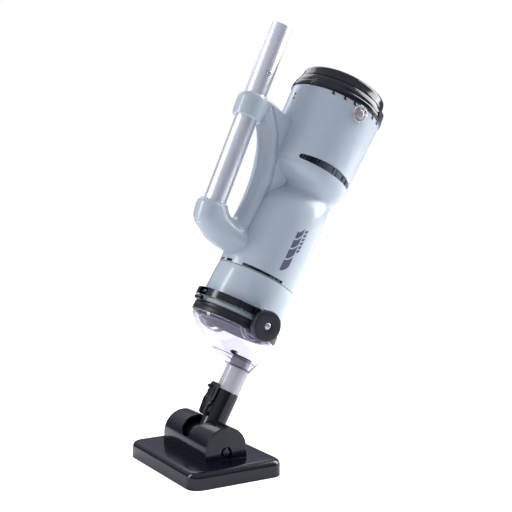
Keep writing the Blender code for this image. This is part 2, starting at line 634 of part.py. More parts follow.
def make_bail(frame, built_in):
    """Half ring over the nose's lip, with round ends on the side pivots."""
    outer = BAIL_RADIUS + BAIL_THICKNESS
    arch = wedge_ring(BAIL_RADIUS, outer, lambda share: (BAIL_BASE, BAIL_TOP), -168.5, -11.5, 28)
    bail = add_object("bail", arch, "black", frame, built_in)
    plate_in = BRACKET_FACE + GAP
    plate_out = plate_in + 0.0040
    for side in (1, -1):
        reach = sorted((side * (BAIL_RADIUS - 0.0015), side * plate_out))
        low, high = BAIL_BASE + 0.0002, BAIL_TOP - 0.0004
        step = [(-0.0210, low), (-0.0210, high), (-0.0118, high), (-0.0118, low)]
        boolean(bail, slab(step, *reach), "UNION", built_in)
        reach = sorted((side * plate_in, side * plate_out))
        outline = arc((0, KNOB_HEIGHT), 0.0125, 100, -120, 10)
        outline += [(-0.0150, KNOB_HEIGHT - 0.0040), (-0.0200, BAIL_BASE + 0.0010),
                    (-0.0200, BAIL_TOP - 0.0010), (-0.0120, BAIL_TOP - 0.0010)]
        boolean(bail, slab(outline, *reach), "UNION", built_in)
    tab = slab([(-outer + 0.0010, BAIL_BASE - 0.0045), (-outer - 0.0052, BAIL_BASE - 0.0030),
                (-outer - 0.0052, BAIL_TOP - 0.0020), (-outer + 0.0010, BAIL_TOP)], -0.0110, 0.0110)
    boolean(bail, tab, "UNION", built_in)
    low, high = BAIL_BASE + 0.0035, BAIL_TOP - 0.0035
    slot = box((-0.0070, -outer - 0.010, low), (0.0070, -BAIL_RADIUS + 0.002, high))
    boolean(bail, slot, built_in=built_in)
    base = plate_out + GAP
    for name, side in (("right", 1), ("left", -1)):
        face = KNOB_FACE
        profile = [(KNOB_RADIUS - 0.0015, base), (KNOB_RADIUS, base + 0.0015), (KNOB_RADIUS, face - 0.0018),
                   (KNOB_RADIUS - 0.0018, face), (0.0052, face), (0.0052, face - 0.0040)]
        knob = turn([(r, side * h) for r, h in profile], TUBE_SIDES, axis="X")
        add_object(f"knob_{name}", shifted(knob, (0, 0, KNOB_HEIGHT)), "black", frame, built_in)
        profile = [(0.0046, face - 0.0040 + GAP), (0.0046, face - 0.0012), (0.0030, face - 0.0002)]
        screw = turn([(r, side * h) for r, h in profile], SMALL_SIDES, axis="X")
        add_object(f"knob_screw_{name}", shifted(screw, (0, 0, KNOB_HEIGHT)), "steel", frame, built_in)


# Nose: the ring, the clear cone, the intake tube and the filter.

def cone_rings(offset, steps=8):
    """The eccentric funnel's rings, from the spout up to its flange."""
    rings = []
    depth = NOSE_BASE - GAP - CONE_BASE
    for step in range(steps + 1):
        share = 1 - step / steps
        swing = share ** CONE_CURVE
        radius = CONE_RADIUS - (CONE_RADIUS - TUBE_RADIUS) * swing + offset
        rings.append((Vector((0, TUBE_SHIFT * swing, CONE_BASE + depth * (1 - share))), radius, 0.0, 1.0))
    return rings


def make_nose(frame, built_in):
    """Black ring, ribbed gasket, clear cone with its side bosses, and the tube with its flap seat."""
    inner = CONE_RADIUS - 0.0065
    profile = [(NOSE_RADIUS - 0.0010, NOSE_BASE), (NOSE_RADIUS, NOSE_BASE + 0.0010),
               (NOSE_RADIUS, NOSE_TOP - 0.0010), (NOSE_RADIUS - 0.0010, NOSE_TOP), (inner, NOSE_TOP),
               (inner, NOSE_BASE)]
    add_object("nose_ring", turn(profile, BARREL_SIDES, True), "black", frame, built_in)
    lip = tube(LIP_RADIUS, LIP_INNER_RADIUS, NOSE_TOP + GAP, COLLAR_BASE - GAP, BARREL_SIDES)
    add_object("lip_gasket", lip, "gasket", frame, built_in)

    funnel = loft(cone_rings(0.0) + cone_rings(-WALL)[::-1], BARREL_SIDES, True)
    cone = add_object("nose_cone", funnel, "clear", frame, built_in)
    for side in (1, -1):
        near, far = side * (CONE_RADIUS - 0.0092), side * (CONE_RADIUS + 0.0083)
        boss = rod(KNOB_RADIUS - 0.0020, near, far, TUBE_SIDES, axis="X")
        shifted(boss, (0, 0, KNOB_HEIGHT - 0.0010))
        boolean(cone, boss_lower_part(boss), "UNION", built_in)
    boolean(cone, loft(cone_rings(-WALL), BARREL_SIDES, False), built_in=built_in)

    centre = (0, TUBE_SHIFT)
    bore = SPIGOT_RADIUS - 0.0022
    top = CONE_BASE - GAP
    fit = TUBE_RADIUS - WALL - GAP
    profile = [(TUBE_RADIUS, NECK_TOP + GAP), (TUBE_RADIUS, top), (fit, top), (fit, SPIGOT_TOP),
               (fit - 0.0018, SPIGOT_TOP), (fit - 0.0018, top - 0.002), (bore, NECK_TOP + 0.004),
               (bore, SPIGOT_BOTTOM), (SPIGOT_RADIUS, SPIGOT_BOTTOM), (SPIGOT_RADIUS, NECK_TOP + GAP)]
    add_object("intake_tube", turn(profile, TUBE_SIDES, True, centre), "clear", frame, built_in)


def boss_lower_part(bm):
    """Keep the part of a side boss that lies below the nose ring."""
    cut = bmesh.ops.bisect_plane(bm, geom=bm.verts[:] + bm.edges[:] + bm.faces[:], clear_outer=True,
                                 plane_co=(0, 0, NOSE_BASE - GAP), plane_no=(0, 0, 1))
    edges = [item for item in cut["geom_cut"] if isinstance(item, bmesh.types.BMEdge)]
    bmesh.ops.contextual_create(bm, geom=edges)
    return bm


def make_filter(frame, built_in):
    """Filter frame in the cone and the bag that it holds up inside the collar."""
    radius = FILTER_RADIUS
    hoop = tube(radius, radius - FILTER_WALL, NOSE_BASE - FILTER_DROP, NOSE_TOP, BARREL_SIDES)
    add_object("filter_frame", hoop, "frame", frame, built_in)
    base = NOSE_TOP + GAP
    top = BARREL_SEAM - 0.0063
    outside = [(radius - 0.0005, base), (radius - 0.0025, base + 0.030), (radius - 0.0165, top - 0.006),
               (radius - 0.0305, top), (0.0040, top + 0.0005)]
    inside = [(0.0040, top - 0.0007), (radius - 0.0310, top - 0.0012), (radius - 0.0171, top - 0.0072),
              (radius - 0.0037, base + 0.0295), (radius - 0.0017, base)]
    add_object("filter_bag", turn(outside + inside, TUBE_SIDES, True), "mesh", frame, built_in)


def make_flap(frame, flap_frame, built_in):
    """Intake flap, hinged on a pin beside the tube's top."""
    reach = TUBE_RADIUS - WALL - GAP
    hinge = flap_hinge()
    low = SPIGOT_TOP + GAP
    centre = (0, TUBE_SHIFT)
    disc = add_object("flap_valve", rod(reach, low, low + 0.0016, 24, centre), "rubber", flap_frame, built_in)
    knuckle = rod(0.0026, -0.0050, 0.0050, SMALL_SIDES, axis="X")
    boolean(disc, shifted(knuckle, hinge), "UNION", built_in)
    boolean(disc, box((-0.0050, hinge[1], low), (0.0050, hinge[1] + 0.008, low + 0.0016)), "UNION", built_in)
    bore = rod(FLAP_PIN_RADIUS + PIN_FIT, -0.020, 0.020, SMALL_SIDES, axis="X")
    boolean(disc, shifted(bore, hinge), built_in=built_in)
    pin = rod(FLAP_PIN_RADIUS, -0.0100, 0.0100, SMALL_SIDES, axis="X")
    add_object("flap_pin", shifted(pin, hinge), "steel", frame, built_in)


def flap_hinge():
    """Place of the flap's pin."""
    return (0.0, TUBE_SHIFT - (TUBE_RADIUS - WALL - GAP) - 0.0032, SPIGOT_TOP + GAP + 0.0028)


# Swivel neck and its latch.

def make_neck(frame, latch_frame, built_in):
    """Neck that slips over the tube's spigot, with its drum and two trunnions."""
    centre = (0, TUBE_SHIFT)
    axis_point = Vector((0, TUBE_SHIFT, 0))
    sleeve = rod(NECK_RADIUS, 0.0080, NECK_TOP, TUBE_SIDES, centre)
    neck = add_object("swivel_neck", sleeve, "black", frame, built_in)
    drum = turn([(DRUM_RADIUS - 0.001, -DRUM_HALF), (DRUM_RADIUS, -DRUM_HALF + 0.001),
                 (DRUM_RADIUS, DRUM_HALF - 0.001), (DRUM_RADIUS - 0.001, DRUM_HALF)], TUBE_SIDES, axis="X")
    boolean(neck, shifted(drum, axis_point), "UNION", built_in)
    end = COVER_HALF_WIDTH - 0.0002
    pins = rod(TRUNNION_RADIUS, -end, end, SMALL_SIDES, axis="X")
    boolean(neck, shifted(pins, axis_point), "UNION", built_in)
    skin = TUBE_SHIFT - NECK_RADIUS
    root = [(skin + 0.002, NECK_TOP - 0.0535), (skin + 0.002, NECK_TOP - 0.0215),
            (skin - 0.0030, NECK_TOP - 0.0275), (skin - 0.0040, NECK_TOP - 0.0435),
            (skin - 0.0030, NECK_TOP - 0.0535)]
    boolean(neck, slab(root, -LATCH_HALF - 0.0005, LATCH_HALF + 0.0005), "UNION", built_in)
    bore = rod(SPIGOT_RADIUS + GAP, -DRUM_RADIUS - 0.004, NECK_TOP + 0.01, TUBE_SIDES, centre)
    boolean(neck, bore, built_in=built_in)
    make_latch(latch_frame, built_in)


def make_latch(frame, built_in):
    """Springy tab beside the neck, with the peg that it is pressed by."""
    face = TUBE_SHIFT - NECK_RADIUS - 0.0012
    back = face - LATCH_OUT + 0.0012
    outline = [(face, NECK_TOP - 0.0200), (face, NECK_TOP + 0.0040), (back + 0.0020, NECK_TOP + 0.0052),
               (back, NECK_TOP + 0.0030), (back, NECK_TOP - 0.0175), (back - 0.0012, NECK_TOP - 0.0190),
               (back - 0.0012, NECK_TOP - 0.0215), (back + 0.0010, NECK_TOP - 0.0415),
               (back + 0.0044, NECK_TOP - 0.0433), (back + 0.0038, NECK_TOP - 0.0215)]
    tab = add_object("latch_tab", slab(outline, -LATCH_HALF, LATCH_HALF), "black", frame, built_in)
    profile = [(0.0022, back - 0.0058), (0.0026, back - 0.0048), (0.0022, back - 0.0020),
               (0.0022, back + 0.003)]
    peg = turn(profile, SMALL_SIDES)
    bmesh.ops.rotate(peg, verts=peg.verts, cent=(0, 0, 0), matrix=Matrix.Rotation(-math.pi / 2, 3, "X"))
    boolean(tab, shifted(peg, (0, 0, NECK_TOP - 0.0030)), "UNION", built_in)


# Floor head.

def head_arch(radius, low, top, steps=20):
    """Outline of the cover: an arch of a radius on short straight sides."""
    spring = top - radius
    return [(radius, low)] + arc((0, spring), radius, 0, 180, steps) + [(-radius, low)]


def make_cover(frame):
    """Half-round cover over the swivel, with the neck's slot and the trunnions' keyholes."""
    wall, half = WALL, COVER_HALF_WIDTH
    arch = slab(head_arch(COVER_RADIUS, COVER_SPLIT, COVER_TOP), -half, half)
    cover = add_object("head_cover", arch, "black", frame)
    inner = head_arch(COVER_RADIUS - wall, COVER_SPLIT - 0.005, COVER_TOP - wall)
    boolean(cover, slab(inner, -half + END_WALL, half - END_WALL))
    for side in (1, -1):
        rib_x = sorted((side * (half - 0.0173), side * (half - 0.0143)))
        sunk = wall - 0.0008
        rib = slab(head_arch(COVER_RADIUS - sunk, COVER_SPLIT, COVER_TOP - sunk, 12), *rib_x)
        boolean(cover, rib, "UNION")
    boolean(cover, trunnion_hole())
    for side in (1, -1):
        x_span = sorted((side * (half - 0.0103), side * (half + 0.0047)))
        keyhole = arc((0, 0), KEYHOLE_RADIUS, 0, 180, 12)
        keyhole = [(KEYHOLE_RADIUS, -0.02)] + keyhole + [(-KEYHOLE_RADIUS, -0.02)]
        boolean(cover, slab(keyhole, *x_span))
    spring = COVER_TOP - COVER_RADIUS
    slot = [(0.0, spring - 0.004)] + arc((0, spring), COVER_RADIUS + 0.0134, 4, 168, 16)
    boolean(cover, slab(slot, -NECK_RADIUS - 0.0025, NECK_RADIUS + 0.0025))
    return cover


def make_plate(frame):
    """Wide base plate with the saddle for the swivel, the throat and the suction mouth."""
    wide, deep = HEAD_HALF_WIDTH, HEAD_HALF_DEPTH
    bm = bmesh.new()
    middle = Matrix.Translation((0, 0, (SOLE + PLATE_TOP) / 2))
    size = Matrix.Diagonal((2 * wide, 2 * deep, PLATE_TOP - SOLE, 1))
    bmesh.ops.create_cube(bm, size=1.0, matrix=middle @ size)
    upright = [e for e in bm.edges if abs(e.verts[0].co.z - e.verts[1].co.z) > 0.001]
    bmesh.ops.bevel(bm, geom=upright, offset=HEAD_CORNER, segments=6, profile=0.5, affect="EDGES")
    rim = [e for e in bm.edges if min(v.co.z for v in e.verts) > PLATE_TOP - 1e-5]
    bmesh.ops.bevel(bm, geom=rim, offset=HEAD_ROUNDING, segments=4, profile=0.5, affect="EDGES")
    plate = add_object("head_plate", bm, "black", frame)
    saddle = box((-COVER_HALF_WIDTH, -COVER_RADIUS, PLATE_TOP - 0.002),
                 (COVER_HALF_WIDTH, COVER_RADIUS, COVER_SPLIT - GAP))
    boolean(plate, saddle, "UNION")
    drum_half = DRUM_HALF + 0.0008
    boolean(plate, rod(DRUM_RADIUS + DRUM_FIT, -drum_half, drum_half, TUBE_SIDES, axis="X"))
    boolean(plate, trunnion_hole())
    for side in (1, -1):
        x_span = sorted((side * (COVER_HALF_WIDTH - 0.0063), side * (COVER_HALF_WIDTH + 0.0047)))
        slot = [(KEYHOLE_RADIUS, PLATE_TOP + 0.001), (KEYHOLE_RADIUS, 0.005), (-KEYHOLE_RADIUS, 0.005),
                (-KEYHOLE_RADIUS, PLATE_TOP + 0.001)]
        boolean(plate, slab(slot, *x_span))
    below = SOLE - 0.002
    wide, deep = MOUTH_HALF_WIDTH, MOUTH_HALF_DEPTH
    boolean(plate, box((-wide, -deep, below), (wide, deep, SOLE + MOUTH_DEPTH)))
    wide, deep = THROAT
    boolean(plate, box((-wide, -deep, SOLE), (wide, deep, -DRUM_RADIUS + 0.0060)))
    wide = BRISTLE_HALF_WIDTH + GAP
    for low, high in bristle_spans():
        boolean(plate, box((-wide, low - GAP, below), (wide, high + GAP, SOLE + BRISTLE_HEIGHT + GAP)))
    for x, y in cover_screw_places():
        boolean(plate, rod(SCREW_RADIUS + GAP, SOLE - 0.001, 0.0, SCREW_SIDES, (x, y)))
        boolean(plate, rod(SCREW_HEAD_RADIUS + 0.0004, SOLE - 0.001, SOLE + 0.0050, SCREW_SIDES, (x, y)))
    return plate


def trunnion_hole():
    """The bar of air that the two trunnions turn in."""
    end = COVER_HALF_WIDTH - 0.0053
    return rod(TRUNNION_RADIUS + PIN_FIT, -end, end, SMALL_SIDES, axis="X")


def bristle_spans():
    """The two strips' spans in y, front and rear."""
    near, far = BRISTLE_SPAN
    return [(-far, -near), (near, far)]


def cover_screw_places():
    """Where the four screws of the head stand."""
    across, along = COVER_HALF_WIDTH - 0.0093, COVER_RADIUS - 0.0116
    return [(x, y) for x in (-across, across) for y in (-along, along)]


def make_head_trim(frame):
    """Bristle strips under the plate and the screws that hold the cover."""
    wide = BRISTLE_HALF_WIDTH
    for name, (low, high) in zip(("bristle_strip_front", "bristle_strip_rear"), bristle_spans()):
        add_object(name, box((-wide, low, SOLE), (wide, high, SOLE + BRISTLE_HEIGHT)), "bristle", frame)
    for index, (x, y) in enumerate(cover_screw_places()):
        profile = [(SCREW_HEAD_RADIUS, SOLE + 0.0020), (SCREW_HEAD_RADIUS, SOLE + 0.0047),
                   (SCREW_RADIUS, SOLE + 0.0048), (SCREW_RADIUS, COVER_SPLIT - 0.0006)]
        add_object(f"cover_screw_{index + 1}", turn(profile, SCREW_SIDES, centre=(x, y)), "steel", frame)


# Pole.

def make_pole(frame, snap_frame):
    """Aluminium pole section with its spring button."""
    bore = POLE_RADIUS - POLE_WALL
    pipe = tube(POLE_RADIUS, bore, POLE_BOTTOM, POLE_TOP, TUBE_SIDES)
    pole = add_object("pole", pipe, "aluminium", frame)
    hole = rod(SNAP_RADIUS + PIN_FIT, bore - 0.010, bore + 0.010, SMALL_SIDES, axis="X")
    boolean(pole, shifted(hole, (0, 0, BUTTON_ALONG)))
    base = bore - 0.0016
    tip = POLE_RADIUS + 0.0018
    profile = [(SNAP_RADIUS, base), (SNAP_RADIUS, tip), (SNAP_RADIUS - 0.0012, tip + 0.0012)]
    knob = turn(profile, SMALL_SIDES, axis="X")
    add_object("snap_button", shifted(knob, (0, 0, BUTTON_ALONG)), "steel", snap_frame, frame)
    leaf = base - 0.0048
    inner = leaf - 0.0008
    far = -(bore - 0.001875)
    bend = far + 0.0043
    strip = [(leaf, BUTTON_ALONG + 0.006), (inner, BUTTON_ALONG + 0.006), (bend, BUTTON_ALONG - 0.034),
             (far, BUTTON_ALONG + 0.004), (far + 0.0008, BUTTON_ALONG + 0.004),
             (bend + 0.0003, BUTTON_ALONG - 0.030)]
    spring = slab(strip, -0.0030, 0.0030)
    bmesh.ops.rotate(spring, verts=spring.verts, cent=(0, 0, 0), matrix=Matrix.Rotation(-math.pi / 2, 3, "Z"))
    add_object("snap_spring", spring, "steel", frame)


def clear_scene():
    """Remove whatever the file opened with."""
    for old in list(bpy.data.objects):
        bpy.data.objects.remove(old)


def build():
    """Make every frame and every piece."""
    clear_scene()
    turn_body = Matrix.Rotation(-LEAN, 3, "X")
    grip = Vector((0, out(GRIP_OUT), GRIP_HEIGHT))
    body = empty("body_frame", location=-(turn_body @ grip), tilt=-LEAN)
    swivel = body.matrix_world @ Vector((0, TUBE_SHIFT, 0))

    pole = empty("pole_frame", body, (0, out(SOCKET_OUT), SOCKET_HEIGHT), POLE_TILT)
    snap = empty("snap_frame", pole, (POLE_RADIUS, 0, BUTTON_ALONG))
    cap = empty("cap_frame", body, (0, 0, RIM_HEIGHT))
    button = empty("button_frame", body, (barrel_radius(BUTTON_HEIGHT), 0, BUTTON_HEIGHT))
    bail = empty("bail_frame", body, (0, 0, KNOB_HEIGHT))
    rotor = empty("rotor_frame", body, (0, 0, HUB_BASE))
    nose = empty("nose_frame", body, (0, 0, NOSE_TOP))
    flap = empty("flap_frame", body, flap_hinge())
    neck = empty("neck_frame", body, (0, TUBE_SHIFT, 0))
    latch = empty("latch_frame", body, latch_hinge())
    head = empty("head_frame", None, swivel)

    make_main_shell(body)
    make_handle(body, pole)
    make_collar(body)
    make_vent_liners(body)
    make_motor(body, rotor, body)
    make_battery(body)
    make_contacts(body)
    make_neck_ring(body)
    make_button(body, button, body)
    make_handle_screws(body)
    make_cap(cap, body)
    make_bail(bail, body)
    make_nose(nose, body)
    make_filter(nose, body)
    make_flap(nose, flap, body)
    make_neck(neck, latch, body)
    make_cover(head)
    make_plate(head)
    make_head_trim(head)
    make_pole(pole, snap)


def latch_hinge():
    """Where the latch tab bends: at its lower end, beside the neck."""
    return (0.0, TUBE_SHIFT - NECK_RADIUS - LATCH_OUT + 0.0044, NECK_TOP - 0.0425)


build()
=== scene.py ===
# Looks of the cordless vacuum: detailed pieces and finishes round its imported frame.
import json
import math

import bmesh
import bpy
from mathutils import Matrix, Vector, noise
from mathutils.bvhtree import BVHTree


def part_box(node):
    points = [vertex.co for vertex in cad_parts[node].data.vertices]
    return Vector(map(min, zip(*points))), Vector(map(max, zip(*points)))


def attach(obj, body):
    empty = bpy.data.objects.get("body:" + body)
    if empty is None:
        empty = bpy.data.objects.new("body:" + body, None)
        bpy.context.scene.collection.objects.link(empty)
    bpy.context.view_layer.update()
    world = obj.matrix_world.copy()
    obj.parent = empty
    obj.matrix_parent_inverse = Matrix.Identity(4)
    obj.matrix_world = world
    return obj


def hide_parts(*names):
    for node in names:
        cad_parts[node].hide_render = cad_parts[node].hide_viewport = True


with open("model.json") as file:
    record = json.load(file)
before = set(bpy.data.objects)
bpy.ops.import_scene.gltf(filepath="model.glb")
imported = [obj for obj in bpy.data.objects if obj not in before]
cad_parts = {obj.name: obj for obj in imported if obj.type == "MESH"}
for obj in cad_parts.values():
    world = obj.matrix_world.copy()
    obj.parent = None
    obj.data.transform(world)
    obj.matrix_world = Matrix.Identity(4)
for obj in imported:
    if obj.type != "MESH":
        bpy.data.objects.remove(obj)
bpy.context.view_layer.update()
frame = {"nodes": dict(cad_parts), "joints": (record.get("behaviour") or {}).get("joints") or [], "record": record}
print("frame loaded:", len(frame["nodes"]), "nodes")

# The barrel's own frame has Z up the barrel and its origin level with the swivel pin.
joints = {joint["name"]: joint for joint in frame["joints"]}
barrelUp = Vector(joints["cap_twist"]["axis"]).normalized()
poleUp = Vector(joints["pole_slide"]["axis"]).normalized()
rotorPoint = Vector(joints["motor_spin"]["pos_m"])
swivelPoint = Vector(joints["head_swivel"]["pos_m"])
barrelOrigin = rotorPoint - barrelUp * (rotorPoint - swivelPoint).dot(barrelUp)
barrelFrame = Matrix.Translation(barrelOrigin) @ Matrix.Rotation(-math.atan2(barrelUp.y, barrelUp.z), 4, "X")
headFrame = Matrix.Translation(swivelPoint)
tubeShift = (barrelFrame.inverted() @ swivelPoint).y          # intake tube's axis from the barrel's axis
poleMouth = barrelFrame @ Vector((0, -0.1133, 0.3145))        # centre of the socket's mouth
poleFrame = Matrix.Translation(poleMouth) @ Matrix.Rotation(-math.atan2(poleUp.y, poleUp.z), 4, "X")
knobHeight = (barrelFrame.inverted() @ Vector(joints["bail_lift"]["pos_m"])).z


# Shared modelling steps.

def smoothCurve(points, steps=5):
    # a smooth curve through a few chosen points, of any number of values each
    padded = [points[0], *points, points[-1]]
    curve = []
    for before, start, end, after in zip(padded, padded[1:], padded[2:], padded[3:]):
        for step in range(steps):
            t = step / steps
            curve.append(tuple(
                0.5 * (2 * b + (c - a) * t + (2 * a - 5 * b + 4 * c - d) * t * t + (3 * b - a - 3 * c + d) * t ** 3)
                for a, b, c, d in zip(before, start, end, after)))
    return curve + [tuple(points[-1])]


def valueAt(curve, height):
    # a curve's other values at a height, its first value
    for low, high in zip(curve, curve[1:]):
        if height <= high[0]:
            share = max(0.0, (height - low[0]) / max(high[0] - low[0], 1e-9))
            return [a + (b - a) * share for a, b in zip(low[1:], high[1:])]
    return list(curve[-1][1:])


def spinProfile(points, steps=96, closed=True, axis="Z"):
    # points are (radius, height); a closed profile makes a ring, an open one starts and ends on the axis
    bm = bmesh.new()
    verts = [bm.verts.new((radius, 0, height)) for radius, height in points]
    edges = [bm.edges.new(pair) for pair in zip(verts, verts[1:])]
    if closed:
        edges.append(bm.edges.new((verts[-1], verts[0])))
    bmesh.ops.spin(bm, geom=verts + edges, axis=(0, 0, 1), cent=(0, 0, 0), angle=2 * math.pi, steps=steps,
                   use_merge=True)
    bmesh.ops.remove_doubles(bm, verts=bm.verts, dist=1e-6)
    if axis == "X":
        bmesh.ops.rotate(bm, verts=bm.verts, cent=(0, 0, 0), matrix=Matrix.Rotation(math.pi / 2, 3, "Y"))
    bmesh.ops.recalc_face_normals(bm, faces=bm.faces)
    return bm


def sweep(rings, sides=48):
    # a round bar through rings of (centre, radius, tilt about X, depth over width)
    bm = bmesh.new()
    places = [Matrix.Translation(centre) @ Matrix.Rotation(tilt, 4, "X") @ Matrix.Diagonal((radius, radius * squash, radius, 1))
              for centre, radius, tilt, squash in rings]
    bmesh.ops.create_circle(bm, cap_ends=True, segments=sides, radius=1.0, matrix=places[0])
    face = bm.faces[:][0]
    for before, after in zip(places, places[1:]):
        made = bmesh.ops.extrude_face_region(bm, geom=[face])
        face = [item for item in made["geom"] if isinstance(item, bmesh.types.BMFace)][0]
        bmesh.ops.transform(bm, matrix=after @ before.inverted(), verts=face.verts)
    bmesh.ops.recalc_face_normals(bm, faces=bm.faces)
    return bm


def slab(outline, low, high, rounding=0.0, segments=3):
    # an outline in the YZ plane, thick from x = low to x = high
    bm = bmesh.new()
    face = bm.faces.new([bm.verts.new((low, y, z)) for y, z in outline])
    made = bmesh.ops.extrude_face_region(bm, geom=[face])
    moved = [item for item in made["geom"] if isinstance(item, bmesh.types.BMVert)]
    bmesh.ops.translate(bm, verts=moved, vec=(high - low, 0, 0))
    bmesh.ops.recalc_face_normals(bm, faces=bm.faces)
    if rounding:
        bmesh.ops.bevel(bm, geom=bm.edges[:], offset=rounding, segments=segments, profile=0.5, affect="EDGES",
                        material=-1, offset_type="OFFSET", clamp_overlap=True)
    return bm


def block(low, high, rounding=0.0, segments=3):
    # a box between two corners
    bm = bmesh.new()
    size = Vector(high) - Vector(low)
    place = Matrix.Translation((Vector(high) + Vector(low)) / 2) @ Matrix.Diagonal((*size, 1))
    bmesh.ops.create_cube(bm, size=1.0, matrix=place)
    if rounding:
        bmesh.ops.bevel(bm, geom=bm.edges[:], offset=rounding, segments=segments, profile=0.5, affect="EDGES",
                        material=-1)
    return bm


def arcPoints(centre, radius, start, end, steps):
    # points of an arc, angles in degrees
    angles = [math.radians(start + (end - start) * step / steps) for step in range(steps + 1)]
    return [(centre[0] + radius * math.cos(a), centre[1] + radius * math.sin(a)) for a in angles]


def arcBar(inner, outer, start, end, span, steps=32):
    # a bar bent round the barrel's axis; span gives its lower and upper height along its way
    bm = bmesh.new()
    low, high = span(0.0)
    corners = [(inner, 0, low), (outer, 0, low), (outer, 0, high), (inner, 0, high)]
    face = bm.faces.new([bm.verts.new(corner) for corner in corners])
    bmesh.ops.rotate(bm, verts=bm.verts, cent=(0, 0, 0), matrix=Matrix.Rotation(math.radians(start), 3, "Z"))
    turn = Matrix.Rotation(math.radians(end - start) / steps, 3, "Z")
    for step in range(1, steps + 1):
        middle = (low + high) / 2
        made = bmesh.ops.extrude_face_region(bm, geom=[face])
        face = [item for item in made["geom"] if isinstance(item, bmesh.types.BMFace)][0]
        bmesh.ops.rotate(bm, verts=face.verts, cent=(0, 0, 0), matrix=turn)
        newLow, newHigh = span(step / steps)
        for vert in face.verts:
            vert.co.z = newLow if vert.co.z < middle else newHigh
        low, high = newLow, newHigh
    bmesh.ops.recalc_face_normals(bm, faces=bm.faces)
    return bm


def roundedSpan(low, high, length, swell=0.0):
    # heights of a slot with round ends; length is its way along the surface
    half = (high - low) / 2
    middle = (high + low) / 2

    def span(share):
        fromEnd = min(share, 1 - share) * length
        ease = math.sqrt(max(0.0, 1 - (1 - min(1.0, fromEnd / half)) ** 2))
        reach = half * max(0.06, ease)
        return middle - reach, middle + reach + swell * math.sin(math.pi * share)
    return span


def joined(*parts):
    # several solids in one bmesh
    first = parts[0]
    for part in parts[1:]:
        loose = bpy.data.meshes.new("loose")
        part.to_mesh(loose)
        part.free()
        first.from_mesh(loose)
        bpy.data.meshes.remove(loose)
    return first


def addPiece(name, bm, material, body, replaced=(), place=barrelFrame, bevel=0.0, sharp=35):
    bmesh.ops.transform(bm, matrix=place, verts=bm.verts)
    mesh = bpy.data.meshes.new(name)
    bm.to_mesh(mesh)
    bm.free()
    mesh.materials.append(material)
    mesh.shade_smooth()
    mesh.set_sharp_from_angle(angle=math.radians(sharp))
    piece = bpy.data.objects.new(name, mesh)
    bpy.context.scene.collection.objects.link(piece)
    if bevel:
        rounding = piece.modifiers.new("rounding", "BEVEL")
        rounding.width = bevel
        rounding.segments = 3
        rounding.limit_method = "ANGLE"
        rounding.angle_limit = math.radians(40)
        rounding.use_clamp_overlap = True
    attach(piece, body)
    if replaced:
        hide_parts(*replaced)
    return piece


def cut(bm, tool, operation="DIFFERENCE"):
    # a solid with another taken out of it, or joined to it
    objects = []
    for index, part in enumerate((bm, tool)):
        mesh = bpy.data.meshes.new(f"cutting{index}")
        part.to_mesh(mesh)
        part.free()
        thing = bpy.data.objects.new(f"cutting{index}", mesh)
        bpy.context.scene.collection.objects.link(thing)
        objects.append(thing)
    modifier = objects[0].modifiers.new("cut", "BOOLEAN")
    modifier.object = objects[1]
    modifier.operation = operation
    modifier.solver = "EXACT"
    bpy.context.view_layer.update()
    graph = bpy.context.evaluated_depsgraph_get()
    result = bmesh.new()
    result.from_object(objects[0], graph)
    for thing in objects:
        mesh = thing.data
        bpy.data.objects.remove(thing)
        bpy.data.meshes.remove(mesh)
    return result


# Finishes.

def linearColour(code):
    channels = [int(code[place:place + 2], 16) / 255 for place in (1, 3, 5)]
    return (*[c / 12.92 if c <= 0.04045 else ((c + 0.055) / 1.055) ** 2.4 for c in channels], 1.0)


def addNode(material, kind, settings=None, values=None, links=None):
    # adds a node with its settings, its sockets' values and what is linked to them
    tree = material.node_tree
    node = tree.nodes.new(kind)
    for key, value in (settings or {}).items():
        setattr(node, key, value)
    for key, value in (values or {}).items():
        node.inputs[key].default_value = value
    for key, source in (links or {}).items():
        tree.links.new(source, node.inputs[key])
    return node


def newMaterial(name, values):
    material = bpy.data.materials.new(name)
    material.use_nodes = True
    shader = material.node_tree.nodes["Principled BSDF"]
    for key, value in values.items():
        shader.inputs[key].default_value = value
    return material, shader


def noiseAt(material, size, detail=3.0, stretch=None, turn=(0, 0, 0)):
    # noise with features of a size in metres, stretched along one axis if asked
    place = addNode(material, "ShaderNodeTexCoord").outputs["Object"]
    if stretch:
        turned = addNode(material, "ShaderNodeMapping", {"vector_type": "TEXTURE"},
                         {"Rotation": turn, "Scale": stretch}, {"Vector": place})
        place = turned.outputs["Vector"]
    return addNode(material, "ShaderNodeTexNoise", None, {"Scale": 1 / size, "Detail": detail}, {"Vector": place})


def spread(material, source, low, high):
    # a noise's usual span made a span of values
    return addNode(material, "ShaderNodeMapRange", None,
                   {"From Min": 0.2, "From Max": 0.8, "To Min": low, "To Max": high}, {"Value": source})


def tint(material, source, first, second):
    # a mix of two colours by a noise
    share = spread(material, source, 0.0, 1.0)
    mixed = addNode(material, "ShaderNodeMixRGB", None,
                    {"Color1": linearColour(first), "Color2": linearColour(second)}, {"Fac": share.outputs["Result"]})
    return mixed.outputs["Color"]


def addBump(material, shader, heights):
    # stacks bumps of (height socket, depth in metres)
    normal = None
    for source, depth in heights:
        links = {"Height": source}
        if normal:
            links["Normal"] = normal
        bump = addNode(material, "ShaderNodeBump", None, {"Strength": 1.0, "Distance": depth}, links)
        normal = bump.outputs["Normal"]
    material.node_tree.links.new(normal, shader.inputs["Normal"])


